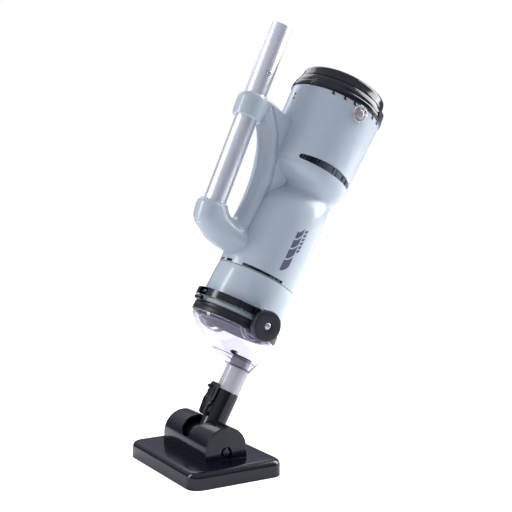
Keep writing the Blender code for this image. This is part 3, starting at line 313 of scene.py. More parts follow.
# Moulded plastics: colours, how far roughness strays, grain and flow waves in metres.
mouldedFinishes = {
    # injection-moulded ABS with a satin gloss: soft highlights, faint flow waves
    "blueGreyAbs": {"colours": ("#B7C1C9", "#B5BFC8"), "rough": (0.27, 0.33), "coat": 0.35, "coatRough": 0.10,
                    "grain": (0.0009, 0.000005), "waves": (0.040, 0.00003)},
    # polished black ABS: deep colour, sharp reflections, a trace of handling haze
    "pianoBlackAbs": {"colours": ("#080B14", "#0C101B"), "rough": (0.12, 0.19), "coat": 0.0, "coatRough": 0.06,
                     "specular": 0.5,
                      "grain": (0.0008, 0.000004), "waves": (0.026, 0.00006)},
    # black ABS from a spark-eroded mould: fine matt grain
    "grainedBlackAbs": {"colours": ("#10131D", "#161924"), "rough": (0.30, 0.42), "coat": 0.0, "coatRough": 0.3,
                        "specular": 0.42, "grain": (0.0011, 0.000020), "waves": (0.020, 0.00005)},
    # glass-filled nylon of the inner frames: blue grey, dull
    "slateNylon": {"colours": ("#5C607C", "#666A86"), "rough": (0.35, 0.50), "coat": 0.1, "coatRough": 0.2,
                   "grain": (0.0012, 0.000020), "waves": (0.018, 0.00005)},
    # PVC shrink sleeve of the cells: bright blue, slightly wrinkled
    "blueSleeve": {"colours": ("#1F5FA0", "#2A6DB0"), "rough": (0.22, 0.36), "coat": 0.3, "coatRough": 0.1,
                   "grain": (0.0030, 0.000040), "waves": (0.009, 0.00012)},
    # nitrile rubber of seals and liners: near black, powdery
    "nitrileRubber": {"colours": ("#1A1B1D", "#26282A"), "rough": (0.62, 0.80), "coat": 0.0, "coatRough": 0.3,
                      "grain": (0.0013, 0.000035), "waves": (0.012, 0.00006)},
    # soft TPE of the nose's lip: pale grey green, matt
    "greyTpe": {"colours": ("#91A0A1", "#A2B0B0"), "rough": (0.48, 0.62), "coat": 0.0, "coatRough": 0.3,
                "grain": (0.0010, 0.000025), "waves": (0.015, 0.00005)},
    # pad-printed ink: slate violet, dull
    "slateInk": {"colours": ("#4B4D60", "#55576B"), "rough": (0.40, 0.52), "coat": 0.1, "coatRough": 0.2,
                 "grain": (0.0007, 0.000010), "waves": (0.010, 0.00002)},
    # nylon filament of the bristle strips: black, streaky
    "blackBristle": {"colours": ("#141416", "#303036"), "rough": (0.45, 0.70), "coat": 0.0, "coatRough": 0.3,
                     "grain": (0.0012, 0.000200), "waves": (0.006, 0.00020)},
}


def mouldedPlastic(name, finish):
    material, shader = newMaterial(name, {"IOR": 1.5, "Specular IOR Level": finish.get("specular", 0.5),
                                          "Coat Weight": finish["coat"],
                                          "Coat Roughness": finish["coatRough"]})
    grainSize, grainDepth = finish["grain"]
    waveSize, waveDepth = finish["waves"]
    waves = noiseAt(material, waveSize, 2.0)
    grain = noiseAt(material, grainSize, 3.0)
    links = material.node_tree.links
    links.new(tint(material, waves.outputs["Fac"], *finish["colours"]), shader.inputs["Base Color"])
    links.new(spread(material, waves.outputs["Fac"], *finish["rough"]).outputs["Result"], shader.inputs["Roughness"])
    addBump(material, shader, [(waves.outputs["Fac"], waveDepth), (grain.outputs["Fac"], grainDepth)])
    return material


def clearPlastic(name, colour, rough, wavesDepth, clear=1.0):
    # moulded polycarbonate: clear with a violet cast, faint flow waves in what shows through it
    material, shader = newMaterial(name, {"Base Color": linearColour(colour), "Roughness": rough, "IOR": 1.585,
                                          "Transmission Weight": clear})
    waves = noiseAt(material, 0.020, 2.0)
    addBump(material, shader, [(waves.outputs["Fac"], wavesDepth)])
    return material


def metal(name, colours, rough, streakSize, stretch, turn, depth):
    # drawn, turned or plated metal: roughness and height run in streaks
    material, shader = newMaterial(name, {"Metallic": 1.0})
    streaks = noiseAt(material, streakSize, 4.0, stretch, turn)
    cloud = noiseAt(material, 0.025, 2.0)
    links = material.node_tree.links
    links.new(tint(material, cloud.outputs["Fac"], *colours), shader.inputs["Base Color"])
    links.new(spread(material, streaks.outputs["Fac"], *rough).outputs["Result"], shader.inputs["Roughness"])
    addBump(material, shader, [(streaks.outputs["Fac"], depth)])
    return material


def wovenCloth(name, colours, thread):
    # fine filter mesh: two crossed sets of threads, drawn coarser than the real weave so that it shows
    material, shader = newMaterial(name, {"Roughness": 0.85, "Sheen Weight": 0.3})
    place = addNode(material, "ShaderNodeTexCoord").outputs["Object"]
    crossed = []
    for direction in ("X", "Z"):
        crossed.append(addNode(material, "ShaderNodeTexWave", {"wave_type": "BANDS", "bands_direction": direction},
                               {"Scale": 0.314 / thread, "Distortion": 0.4}, {"Vector": place}))
    both = addNode(material, "ShaderNodeMath", {"operation": "MULTIPLY"}, None,
                   {0: crossed[0].outputs["Fac"], 1: crossed[1].outputs["Fac"]})
    links = material.node_tree.links
    links.new(tint(material, both.outputs[0], *colours), shader.inputs["Base Color"])
    addBump(material, shader, [(both.outputs[0], 0.0002)])
    return material


def circuitLaminate(name):
    # glass-epoxy board under green solder mask, with paler copper tracks
    material, shader = newMaterial(name, {"Roughness": 0.35, "Coat Weight": 0.4})
    place = addNode(material, "ShaderNodeTexCoord").outputs["Object"]
    tracks = addNode(material, "ShaderNodeTexBrick", {"offset": 0.37},
                     {"Scale": 60.0, "Mortar Size": 0.03, "Color1": linearColour("#0E4A26"),
                      "Color2": linearColour("#125A2E"), "Mortar": linearColour("#3F8A4C")}, {"Vector": place})
    material.node_tree.links.new(tracks.outputs["Color"], shader.inputs["Base Color"])
    addBump(material, shader, [(tracks.outputs["Fac"], 0.00003)])
    return material


finishes = {name: mouldedPlastic(name, finish) for name, finish in mouldedFinishes.items()}
finishes["clearPolycarbonate"] = clearPlastic("clearPolycarbonate", "#E2E0EA", 0.02, 0.00006)
# the same plastic in a darker, more violet copy: painted shade where it is seen through its thick edges
finishes["shadedEdgePolycarbonate"] = clearPlastic("shadedEdgePolycarbonate", "#A9A4BE", 0.05, 0.00004)
finishes["mistPolycarbonate"] = clearPlastic("mistPolycarbonate", "#DEDDE3", 0.14, 0.00004, 0.45)
finishes["clearBoot"] = clearPlastic("clearBoot", "#F3EDF1", 0.10, 0.00005, 0.8)
poleTurn = (-math.atan2(poleUp.y, poleUp.z), 0, 0)
# satin anodised tube: bright, with fine lines along its length
finishes["satinAluminium"] = metal("satinAluminium", ("#F2F2F6", "#EAEAF0"), (0.32, 0.44), 0.0008, (1, 1, 60),
                                   poleTurn, 0.000003)
# zinc-plated steel of screws, springs and the motor's can
finishes["zincPlate"] = metal("zincPlate", ("#C9CACE", "#B5B7BC"), (0.22, 0.38), 0.0012, (1, 6, 1), (0, 0, 0),
                              0.000008)
# rough contact metal, coloured near black as painted shade at the bottom of two holes
finishes["holeShadeContact"] = metal("holeShadeContact", ("#2E3335", "#22272A"), (0.50, 0.65), 0.0010, (1, 1, 1), (0, 0, 0),
                                0.000008)
finishes["filterMesh"] = wovenCloth("filterMesh", ("#F2F2EE", "#C9CAC6"), 0.0012)
finishes["circuitLaminate"] = circuitLaminate("circuitLaminate")

slotFinish = {
    "housing_plastic": "blueGreyAbs", "black_plastic": "pianoBlackAbs", "seal_rubber": "nitrileRubber",
    "lip_rubber": "greyTpe", "clear_plastic": "clearPolycarbonate", "inner_plastic": "slateNylon",
    # the contacts take the near-black finish, painted shade of their holes
    "steel": "zincPlate", "contact_brass": "holeShadeContact", "cell_wrap": "blueSleeve",
    "circuit_board": "circuitLaminate", "aluminium": "satinAluminium", "filter_cloth": "filterMesh",
    "bristle": "blackBristle",
}
for part in frame["record"]["subparts"]:
    slots = frame["nodes"][part["node"]].material_slots
    for slot in slots:
        slot.material = finishes[slotFinish[part["material_slot"]]]
print("finishes made:", len(finishes))


# Camera, light and floor.

view = {"location": (1.26342, -0.75974, 0.02851), "turn": (math.radians(84.76), 0, math.radians(59.24)), "lens": 72.42}
camera = bpy.data.objects.new("camera", bpy.data.cameras.new("camera"))
bpy.context.scene.collection.objects.link(camera)
camera.location = view["location"]
camera.rotation_euler = view["turn"]
camera.data.lens = view["lens"]
camera.data.sensor_width = 36
camera.data.clip_start = 0.01
bpy.context.scene.camera = camera
bpy.context.scene.view_settings.view_transform = "Standard"

studio = {
    "horizon": 0.16,                    # brightness round the room, where the walls are dark
    "sky": 0.72,
    "skyStarts": (0.02, 0.60),          # heights of a direction between which it grows light
    "wall": "#C9CAE6",                  # the dark walls' cast
    "ceiling": "#E6EDFA",
    "paperGlow": 0.70,                  # keeps the paper white to the eye and through clear plastic
}


def makeWorld():
    # a studio with dark walls and a wide light ceiling, in front of a plain white backdrop
    world = bpy.data.worlds.new("studio")
    world.use_nodes = True
    bpy.context.scene.world = world
    background = world.node_tree.nodes["Background"]
    direction = addNode(world, "ShaderNodeTexCoord").outputs["Generated"]
    height = addNode(world, "ShaderNodeSeparateXYZ", None, None, {"Vector": direction}).outputs["Z"]
    low, high = studio["skyStarts"]
    ceiling = addNode(world, "ShaderNodeMapRange", {"interpolation_type": "SMOOTHSTEP"},
                      {"From Min": low, "From Max": high}, {"Value": height})
    path = addNode(world, "ShaderNodeLightPath").outputs
    direct = addNode(world, "ShaderNodeMath", {"operation": "MAXIMUM"}, None,
                     {0: path["Is Camera Ray"], 1: path["Is Transmission Ray"]})
    strength = addNode(world, "ShaderNodeMapRange", None, {"To Min": studio["horizon"], "To Max": studio["sky"]},
                       {"Value": ceiling.outputs["Result"]})
    shown = addNode(world, "ShaderNodeMapRange", None, {"To Max": 1.0},
                    {"Value": direct.outputs[0], "To Min": strength.outputs["Result"]})
    room = addNode(world, "ShaderNodeMixRGB", None,
                   {"Color1": linearColour(studio["wall"]), "Color2": linearColour(studio["ceiling"])},
                   {"Fac": ceiling.outputs["Result"]})
    colour = addNode(world, "ShaderNodeMixRGB", None, {"Color2": (1, 1, 1, 1)},
                     {"Fac": direct.outputs[0], "Color1": room.outputs["Color"]})
    world.node_tree.links.new(shown.outputs["Result"], background.inputs["Strength"])
    world.node_tree.links.new(colour.outputs["Color"], background.inputs["Color"])


def addSoftbox(name, location, target, width, height, power):
    light = bpy.data.lights.new(name, "AREA")
    light.shape = "RECTANGLE"
    light.size = width
    light.size_y = height
    light.energy = power
    box = bpy.data.objects.new(name, light)
    bpy.context.scene.collection.objects.link(box)
    box.location = location
    box.visible_camera = False
    box.visible_transmission = False
    box.rotation_euler = (Vector(target) - Vector(location)).to_track_quat("-Z", "Y").to_euler()


def makeFloor():
    # matt white paper, faintly fibrous
    bm = bmesh.new()
    bmesh.ops.create_grid(bm, x_segments=8, y_segments=8, size=6.0)
    bmesh.ops.translate(bm, verts=bm.verts, vec=(0, 0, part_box("head_plate")[0].z - 0.0002))
    mesh = bpy.data.meshes.new("floor")
    bm.to_mesh(mesh)
    bm.free()
    floor = bpy.data.objects.new("floor", mesh)
    bpy.context.scene.collection.objects.link(floor)
    paper, shader = newMaterial("whitePaper", {"Roughness": 0.9, "Specular IOR Level": 0.0,
                                               "Emission Color": (1, 1, 1, 1)})
    path = addNode(paper, "ShaderNodeLightPath").outputs
    direct = addNode(paper, "ShaderNodeMath", {"operation": "MAXIMUM"}, None,
                     {0: path["Is Camera Ray"], 1: path["Is Transmission Ray"]})
    glow = addNode(paper, "ShaderNodeMapRange", None, {"To Max": studio["paperGlow"]}, {"Value": direct.outputs[0]})
    paper.node_tree.links.new(glow.outputs["Result"], shader.inputs["Emission Strength"])
    fibres = noiseAt(paper, 0.004, 4.0)
    paper.node_tree.links.new(tint(paper, fibres.outputs["Fac"], "#F8F8FA", "#FAFAFB"), shader.inputs["Base Color"])
    mesh.materials.append(paper)


makeWorld()
makeFloor()
addSoftbox("keyRight", (0.30, 1.60, 0.70), (0, 0, 0), 1.0, 1.8, 46)
addSoftbox("rimLeft", (-0.50, -1.50, 0.50), (0, 0, 0), 0.30, 1.6, 15)
addSoftbox("backTop", (-1.10, 0.30, 0.90), (0, -0.05, -0.30), 1.2, 0.8, 5)
print("studio ready")


# Barrel.

barrel = {
    # height, radius, how far the section's centre stands from the axis
    "skin": [(0.2406, 0.0580, 0.0), (0.2650, 0.0585, 0.0), (0.2970, 0.0589, 0.0), (0.3260, 0.0586, 0.0),
             (0.3450, 0.0568, 0.0008), (0.3570, 0.0538, 0.0034), (0.3670, 0.0496, 0.0078), (0.3750, 0.0461, 0.0114),
             (0.3810, 0.0457, 0.0120), (0.3860, 0.0496, 0.0095), (0.3920, 0.0570, 0.0048), (0.4000, 0.0632, 0.0014),
             (0.4090, 0.0664, 0.0), (0.4190, 0.0669, 0.0), (0.4590, 0.0682, 0.0), (0.5000, 0.0695, 0.0),
             (0.5194, 0.0702, 0.0)],
    "wall": 0.0025,
    "steps": 160,
    "pad": {"halfAngle": 19.0, "low": 0.4660, "corner": 0.010, "rise": 0.0009},
    "vent": {"halfAngle": 46.0, "low": 0.4115, "high": 0.4185, "swell": 0.0045},
    "slots": ((-87.0, -74.5), (-56.0, 8.5), (171.5, 236.0), (254.5, 267.0)),
    "slotHeights": (0.2412, 0.2452),
    "contacts": (0.5038, 0.4972),
    "contactHole": 0.0023,
    "buttonHeight": 0.5080,
    "buttonHole": 0.0098,
}
barrelCurve = smoothCurve(barrel["skin"])


def barrelSkin(height):
    # radius and shift of the barrel's skin at a height
    return valueAt(barrelCurve, height)


def padRise(angle, height):
    # the charging pad stands a little proud of the skin, with round lower corners
    pad = barrel["pad"]
    fromMiddle = abs((angle + 90 + 180) % 360 - 180)
    across = math.radians(pad["halfAngle"] - fromMiddle) * 0.070
    up = height - pad["low"]
    if across <= 0 or up <= 0:
        return 0.0
    if across < pad["corner"] and up < pad["corner"]:
        reach = math.hypot(pad["corner"] - across, pad["corner"] - up)
        return pad["rise"] if reach < pad["corner"] else 0.0
    return pad["rise"]


def makeBarrel():
    outer = [(radius, height) for height, radius, shift in barrelCurve]
    inner = [(radius - barrel["wall"], height) for height, radius, shift in reversed(barrelCurve)]
    bm = spinProfile(outer + inner, barrel["steps"])
    for vert in bm.verts:
        radius, shift = barrelSkin(vert.co.z)
        distance = math.hypot(vert.co.x, vert.co.y)
        if distance > radius - barrel["wall"] / 2:
            rise = padRise(math.degrees(math.atan2(vert.co.y, vert.co.x)), vert.co.z)
            vert.co.x *= 1 + rise / distance
            vert.co.y *= 1 + rise / distance
        vert.co.y += shift
    vent = barrel["vent"]
    length = math.radians(2 * vent["halfAngle"]) * 0.067
    for side in (0, 180):
        tool = arcBar(0.050, 0.080, side - vent["halfAngle"], side + vent["halfAngle"],
                      roundedSpan(vent["low"], vent["high"], length, vent["swell"]), 60)
        bm = cut(bm, tool)
    for start, end in barrel["slots"]:
        bm = cut(bm, arcBar(0.050, 0.070, start, end, lambda share: barrel["slotHeights"], 24))
    for height in barrel["contacts"]:
        hole = spinProfile([(0, 0.060), (barrel["contactHole"], 0.060), (barrel["contactHole"], 0.080), (0, 0.080)],
                           24, False)
        bmesh.ops.rotate(hole, verts=hole.verts, cent=(0, 0, 0), matrix=Matrix.Rotation(math.pi / 2, 3, "X"))
        bmesh.ops.translate(hole, verts=hole.verts, vec=(0, 0, height))
        bm = cut(bm, hole)
    hole = spinProfile([(0, 0.055), (barrel["buttonHole"], 0.055), (barrel["buttonHole"], 0.080), (0, 0.080)], 48,
                       False, "X")
    bmesh.ops.translate(hole, verts=hole.verts, vec=(0, 0, barrel["buttonHeight"]))
    bm = cut(bm, hole)
    return addPiece("barrelShell", bm, finishes["blueGreyAbs"], "housing", ["main_shell"],
                    bevel=0.0006)


def makeLiners():
    # dark ducts behind the vents
    for name, low, high, outer, inner in (("upper", 0.4080, 0.4260, 0.0634, 0.0599), ("lower", 0.2405, 0.2510, 0.0541, 0.0521)):
        bm = spinProfile([(outer, low), (outer, high), (outer - 0.0020, high), (inner - 0.0012, low)], 160)
        addPiece(f"ventLiner.{name}", bm, finishes["nitrileRubber"], "housing", [f"{name}_vent_liner"])


makeBarrel()
makeLiners()
print("barrel made")


# Handle: horn, grip bar, web with its arm, and the collar round the pole, melted into one moulding.

handle = {
    # the horn's centre (y, z), its half width, the tilt of its section in degrees, and depth over width
    "horn": [(-0.1133, 0.3040, 0.0234, 5.4, 1.0), (-0.1128, 0.2980, 0.0236, 8, 1.0), (-0.1110, 0.2915, 0.0238, 18, 1.0),
             (-0.1060, 0.2850, 0.0242, 36, 1.0), (-0.0980, 0.2795, 0.0247, 55, 0.98), (-0.0870, 0.2755, 0.0254, 72, 0.93),
             (-0.0740, 0.2735, 0.0264, 84, 0.86), (-0.0600, 0.2728, 0.0274, 90, 0.80), (-0.0420, 0.2728, 0.0282, 90, 0.78)],
    "lip": [(0.0, -0.0220), (0.0208, -0.0220), (0.0208, -0.0112), (0.0200, -0.0100), (0.0, -0.0100)],
    # the grip's centre (y, z), half width, tilt, depth over width
    "grip": [(-0.1080, 0.4560, 0.0196, 62, 0.62), (-0.0980, 0.4460, 0.0200, 50, 0.60), (-0.0870, 0.4330, 0.0204, 38, 0.58),
             (-0.0770, 0.4160, 0.0206, 26, 0.575), (-0.0695, 0.3960, 0.0208, 15, 0.57), (-0.0640, 0.3740, 0.0208, 8, 0.57),
             (-0.0605, 0.3500, 0.0208, 4, 0.57), (-0.0592, 0.3220, 0.0208, 0, 0.57), (-0.0605, 0.2960, 0.0208, -4, 0.58),
             (-0.0640, 0.2800, 0.0206, -10, 0.60)],
    "web": [(-0.1300, 0.4640), (-0.1250, 0.4700), (-0.0300, 0.4570), (-0.0300, 0.2900), (-0.0600, 0.2900),
            (-0.0590, 0.3300), (-0.0620, 0.3700), (-0.0700, 0.4000), (-0.0850, 0.4300), (-0.1050, 0.4470),
            (-0.1220, 0.4500)],
    "webHalf": 0.0180,
    "webRounding": 0.0045,
    "ring": [(0.0, 0.1170), (0.0205, 0.1170), (0.0216, 0.1182), (0.0218, 0.1230), (0.0225, 0.1260), (0.0225, 0.1440),
             (0.0215, 0.1490), (0.0190, 0.1522), (0.0, 0.1522)],
    "voxel": 0.0013,
    "hornMelt": (0.0100, 30),
    "ringMelt": (0.0035, 8),
    "cup": [(0, -0.0120), (0.0232, -0.0120), (0.0234, -0.0300), (0.0224, -0.0385), (0.0184, -0.0455),
            (0.0120, -0.0500), (0, -0.0515)],
    "groove": (0.0022, 0.0014),          # its radius, and how far past the crossing of grip and web
    "ribs": {"pitch": 0.0078, "depth": 0.00090, "low": 0.2950, "high": 0.4250, "half": 0.0165},
    "boreGap": 0.0003,
}


def tiltedRings(rows):
    return [(Vector((0, y, z)), radius, math.radians(tilt), squash) for y, z, radius, tilt, squash in rows]


def inBarrelFrame(bm):
    # moves a solid from the pole's frame to the barrel's
    bmesh.ops.transform(bm, matrix=barrelFrame.inverted() @ poleFrame, verts=bm.verts)
    return bm


def barrelSolid(offset, low, high):
    # the barrel's skin as a solid, moved outwards by offset
    rows = [(radius + offset, height) for height, radius, shift in barrelCurve]
    rows = [(rows[0][0], low), *rows, (rows[-1][0], high)]
    bm = spinProfile([(0, low), *rows, (0, high)], 96, False)
    for vert in bm.verts:
        vert.co.y += barrelSkin(vert.co.z)[1]
    return bm


def meltedTogether(parts, reach, passes):
    # one skin round overlapping solids, with soft fillets where two of them meet
    trees = [BVHTree.FromBMesh(part) for part in parts]
    whole = joined(*parts)
    mesh = bpy.data.meshes.new("melting")
    whole.to_mesh(mesh)
    whole.free()
    thing = bpy.data.objects.new("melting", mesh)
    bpy.context.scene.collection.objects.link(thing)
    remesh = thing.modifiers.new("remesh", "REMESH")
    remesh.mode = "VOXEL"
    remesh.voxel_size = handle["voxel"]
    bpy.context.view_layer.update()
    bm = bmesh.new()
    bm.from_object(thing, bpy.context.evaluated_depsgraph_get())
    bpy.data.objects.remove(thing)
    bpy.data.meshes.remove(mesh)
    near = []
    for vert in bm.verts:
        distances = sorted(tree.find_nearest(vert.co)[3] for tree in trees)
        if distances[1] < reach:
            near.append((distances[1], vert))
    for share in (1.0, 0.75, 0.5):
        chosen = [vert for distance, vert in near if distance < reach * share]
        for step in range(passes):
            bmesh.ops.smooth_vert(bm, verts=chosen, factor=0.5, use_axis_x=True, use_axis_y=True, use_axis_z=True)
    for step in range(3):
        bmesh.ops.smooth_vert(bm, verts=bm.verts, factor=0.5, use_axis_x=True, use_axis_y=True, use_axis_z=True)
    return bm


def gripGroove(side):
    # a groove along the grip's inner edge, where it meets the web
    path = []
    radius, past = handle["groove"]
    for y, z, half, tilt, squash in handle["grip"]:
        edge = half * squash * math.sqrt(1 - (handle["webHalf"] / half) ** 2) + past
        turned = math.radians(tilt)
        path.append((y + edge * math.cos(turned), z + edge * math.sin(turned), radius, tilt, 1.0))
    rings = tiltedRings(smoothCurve(path, 4))
    bm = sweep(rings, 16)
    bmesh.ops.translate(bm, verts=bm.verts, vec=(side * (handle["webHalf"] + 0.0008), 0, 0))
    return bm


def makeHandle():
    horn = sweep(tiltedRings(smoothCurve(handle["horn"], 4)))
    cup = inBarrelFrame(spinProfile(handle["cup"], 64, False))
    grip = sweep(tiltedRings(smoothCurve(handle["grip"], 4)))
    bm = meltedTogether([horn, cup, grip], *handle["hornMelt"])
    bm = cut(bm, inBarrelFrame(spinProfile(handle["lip"], 64, False)), "UNION")
    bm.normal_update()
    ribs = handle["ribs"]
    for vert in bm.verts:
        x, y, z = vert.co
        if ribs["low"] < z < ribs["high"] and abs(x) < ribs["half"] and vert.normal.y < -0.3:
            ease = min(1.0, (z - ribs["low"]) / 0.012, (ribs["high"] - z) / 0.012, (ribs["half"] - abs(x)) / 0.003)
            depth = ribs["depth"] * ease * (0.5 - 0.5 * math.cos(2 * math.pi * x / ribs["pitch"]))
            vert.co -= vert.normal * depth
    web = slab(handle["web"], -handle["webHalf"], handle["webHalf"], handle["webRounding"])
    ring = inBarrelFrame(spinProfile(handle["ring"], 64, False))
    arm = meltedTogether([web, ring], *handle["ringMelt"])
    bm = cut(bm, arm, "UNION")
    for side in (1, -1):
        bm = cut(bm, gripGroove(side))
    bm = cut(bm, barrelSolid(0.0001, 0.200, 0.560))
    bore = [(0, -0.046), (0.015875 + handle["boreGap"], -0.046), (0.015875 + handle["boreGap"], 0.20), (0, 0.20)]
    bm = cut(bm, inBarrelFrame(spinProfile(bore, 64, False)))
    return addPiece("handleMoulding", bm, finishes["blueGreyAbs"], "housing", ["handle"], sharp=50)


makeHandle()
print("handle made")


# Collar below the barrel, with the bail's brackets.

collar = {
    "profile": [(0.0600, 0.1815), (0.0598, 0.2050), (0.0590, 0.2250), (0.0582, 0.2384), (0.0578, 0.2398),
                (0.0552, 0.2398), (0.0560, 0.2250), (0.0572, 0.2050), (0.0573, 0.1815)],
    "bracketFace": 0.0682,
    "bracketHalf": 0.0090,
}


def makeCollar():
    bm = spinProfile(collar["profile"], 128)
    half = collar["bracketHalf"]
    low = knobHeight + 0.0048
    for side in (1, -1):
        reach = sorted((side * 0.0585, side * collar["bracketFace"]))
        bm = cut(bm, slab([(-half, 0.1990), (-half, low), (half, low), (half, 0.1990)], *reach, 0.001), "UNION")
        reach = sorted((side * 0.0655, side * collar["bracketFace"]))
        ear = [(half, low + 0.003), *arcPoints((0, knobHeight - 0.003), half, 0, -180, 16), (-half, low + 0.003)]
        bm = cut(bm, slab(ear, *reach), "UNION")
    return addPiece("collarSkirt", bm, finishes["blueGreyAbs"], "housing", ["lower_collar"],
                    bevel=0.0006)


makeCollar()


# Cap.

cap = {
    "ring": [(0.0662, 0.5197), (0.0700, 0.5197), (0.0712, 0.5203), (0.0717, 0.5216), (0.0717, 0.5262), (0.0712, 0.5276),
             (0.0703, 0.5286), (0.0703, 0.5318), (0.0694, 0.5338), (0.0681, 0.5372), (0.0672, 0.5388), (0.0662, 0.5388)],
    "disc": [(0.0, 0.5394), (0.0655, 0.5394), (0.0664, 0.5402), (0.0662, 0.5422), (0.0652, 0.5440), (0.0644, 0.5505),
             (0.0636, 0.5532), (0.0618, 0.5549), (0.0595, 0.5556), (0.0560, 0.5556), (0.0550, 0.5548), (0.0, 0.5546)],
    "teeth": (-40.0, -25.0, -12.0, 6.0, 20.0, 34.0, 140.0, 155.0, 168.0, 186.0, 200.0, 214.0),
    "notches": (-24.0, 66.0, 156.0, 246.0),
    "lug": 36.0,
}


def makeCap():
    ring = spinProfile(cap["ring"], 160)
    for angle in cap["notches"]:
        ring = cut(ring, arcBar(0.0692, 0.080, angle - 7, angle + 7, roundedSpan(0.5296, 0.5316, 0.017), 16))
    for angle in (cap["lug"], cap["lug"] + 180):
        lug = arcBar(0.0672, 0.0725, angle - 9, angle + 9, roundedSpan(0.5215, 0.5345, 0.022), 24)
        ring = cut(ring, lug, "UNION")
    for angle in cap["teeth"]:
        tooth = block((0.0688, -0.0013, 0.5155), (0.0712, 0.0013, 0.5215), 0.0005, 2)
        hook = block((0.0688, -0.0013, 0.5150), (0.0712, 0.0032, 0.5166), 0.0005, 2)
        tooth = joined(tooth, hook)
        bmesh.ops.rotate(tooth, verts=tooth.verts, cent=(0, 0, 0), matrix=Matrix.Rotation(math.radians(angle), 3, "Z"))
        bmesh.ops.translate(tooth, verts=tooth.verts, vec=(0, 0, 0))
        ring = joined(ring, tooth)
    addPiece("capRing", ring, finishes["pianoBlackAbs"], "cap", ["cap_ring"], bevel=0.0003)
    disc = spinProfile(cap["disc"], 160, False)
    addPiece("capDisc", disc, finishes["pianoBlackAbs"], "cap", ["cap_disc"], sharp=50)


makeCap()


# Power button under its clear boot.

button = {
    "bezel": [(0.0090, 0.0690), (0.0097, 0.0690), (0.0097, 0.0701), (0.0128, 0.0701), (0.0133, 0.0708), (0.0126, 0.0716),
              (0.0106, 0.0722), (0.0094, 0.0719), (0.0090, 0.0712)],
    "boot": [(0.0, 0.0734), (0.0032, 0.0732), (0.0060, 0.0724), (0.0078, 0.0712), (0.0086, 0.0698), (0.0086, 0.0640),
             (0.0072, 0.0640), (0.0072, 0.0695), (0.0050, 0.0712), (0.0, 0.0718)],
    "rocker": (0.0045, 0.0017, 0.0030),  # its radius, how far it stands off the switch, and its depth
}


def makeButton():
    radius, standoff, depth = button["rocker"]
    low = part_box("switch_body")[1].x + standoff
    rocker = [(0.0, low + depth), (radius, low + depth), (radius, low), (0.0, low)]
    for name, profile, closed, finish, slotName, body, replaced in (
            ("buttonBezel", button["bezel"], True, "clearBoot", "clear_plastic", "housing", ()),
            ("buttonBoot", button["boot"], False, "clearBoot", "clear_plastic", "power_button", ("power_button",)),
            ("buttonRocker", rocker, False, "grainedBlackAbs", "clear_plastic", "power_button", ())):
        bm = spinProfile(profile, 64, closed, "X")
        bmesh.ops.translate(bm, verts=bm.verts, vec=(0, 0, barrel["buttonHeight"]))
        addPiece(name, bm, finishes[finish], body, replaced)


makeButton()
print("collar, cap and button made")


# Bail with its side knobs.

bail = {
    "inner": 0.0645, "outer": 0.0687, "low": 0.1834, "high": 0.1940,
    "plate": (0.0685, 0.0725),
    "tabHalf": 0.0110,
    "slot": (0.0068, 0.0042),
    "rib": (-34.5, -29.0),
    "knob": [(0.0, 0.0728), (0.0196, 0.0728), (0.0210, 0.0738), (0.0215, 0.0752), (0.0215, 0.0832), (0.0211, 0.0845),
             (0.0200, 0.0854), (0.0185, 0.0856), (0.0075, 0.0852), (0.0062, 0.0851), (0.0056, 0.0846), (0.0054, 0.0830),
             (0.0, 0.0830)],
    "screw": [(0.0, 0.0818), (0.0050, 0.0818), (0.0050, 0.0836), (0.0046, 0.0846), (0.0034, 0.0853), (0.0018, 0.0857),
              (0.0, 0.0858)],
    "cross": (0.0030, 0.0006),
}


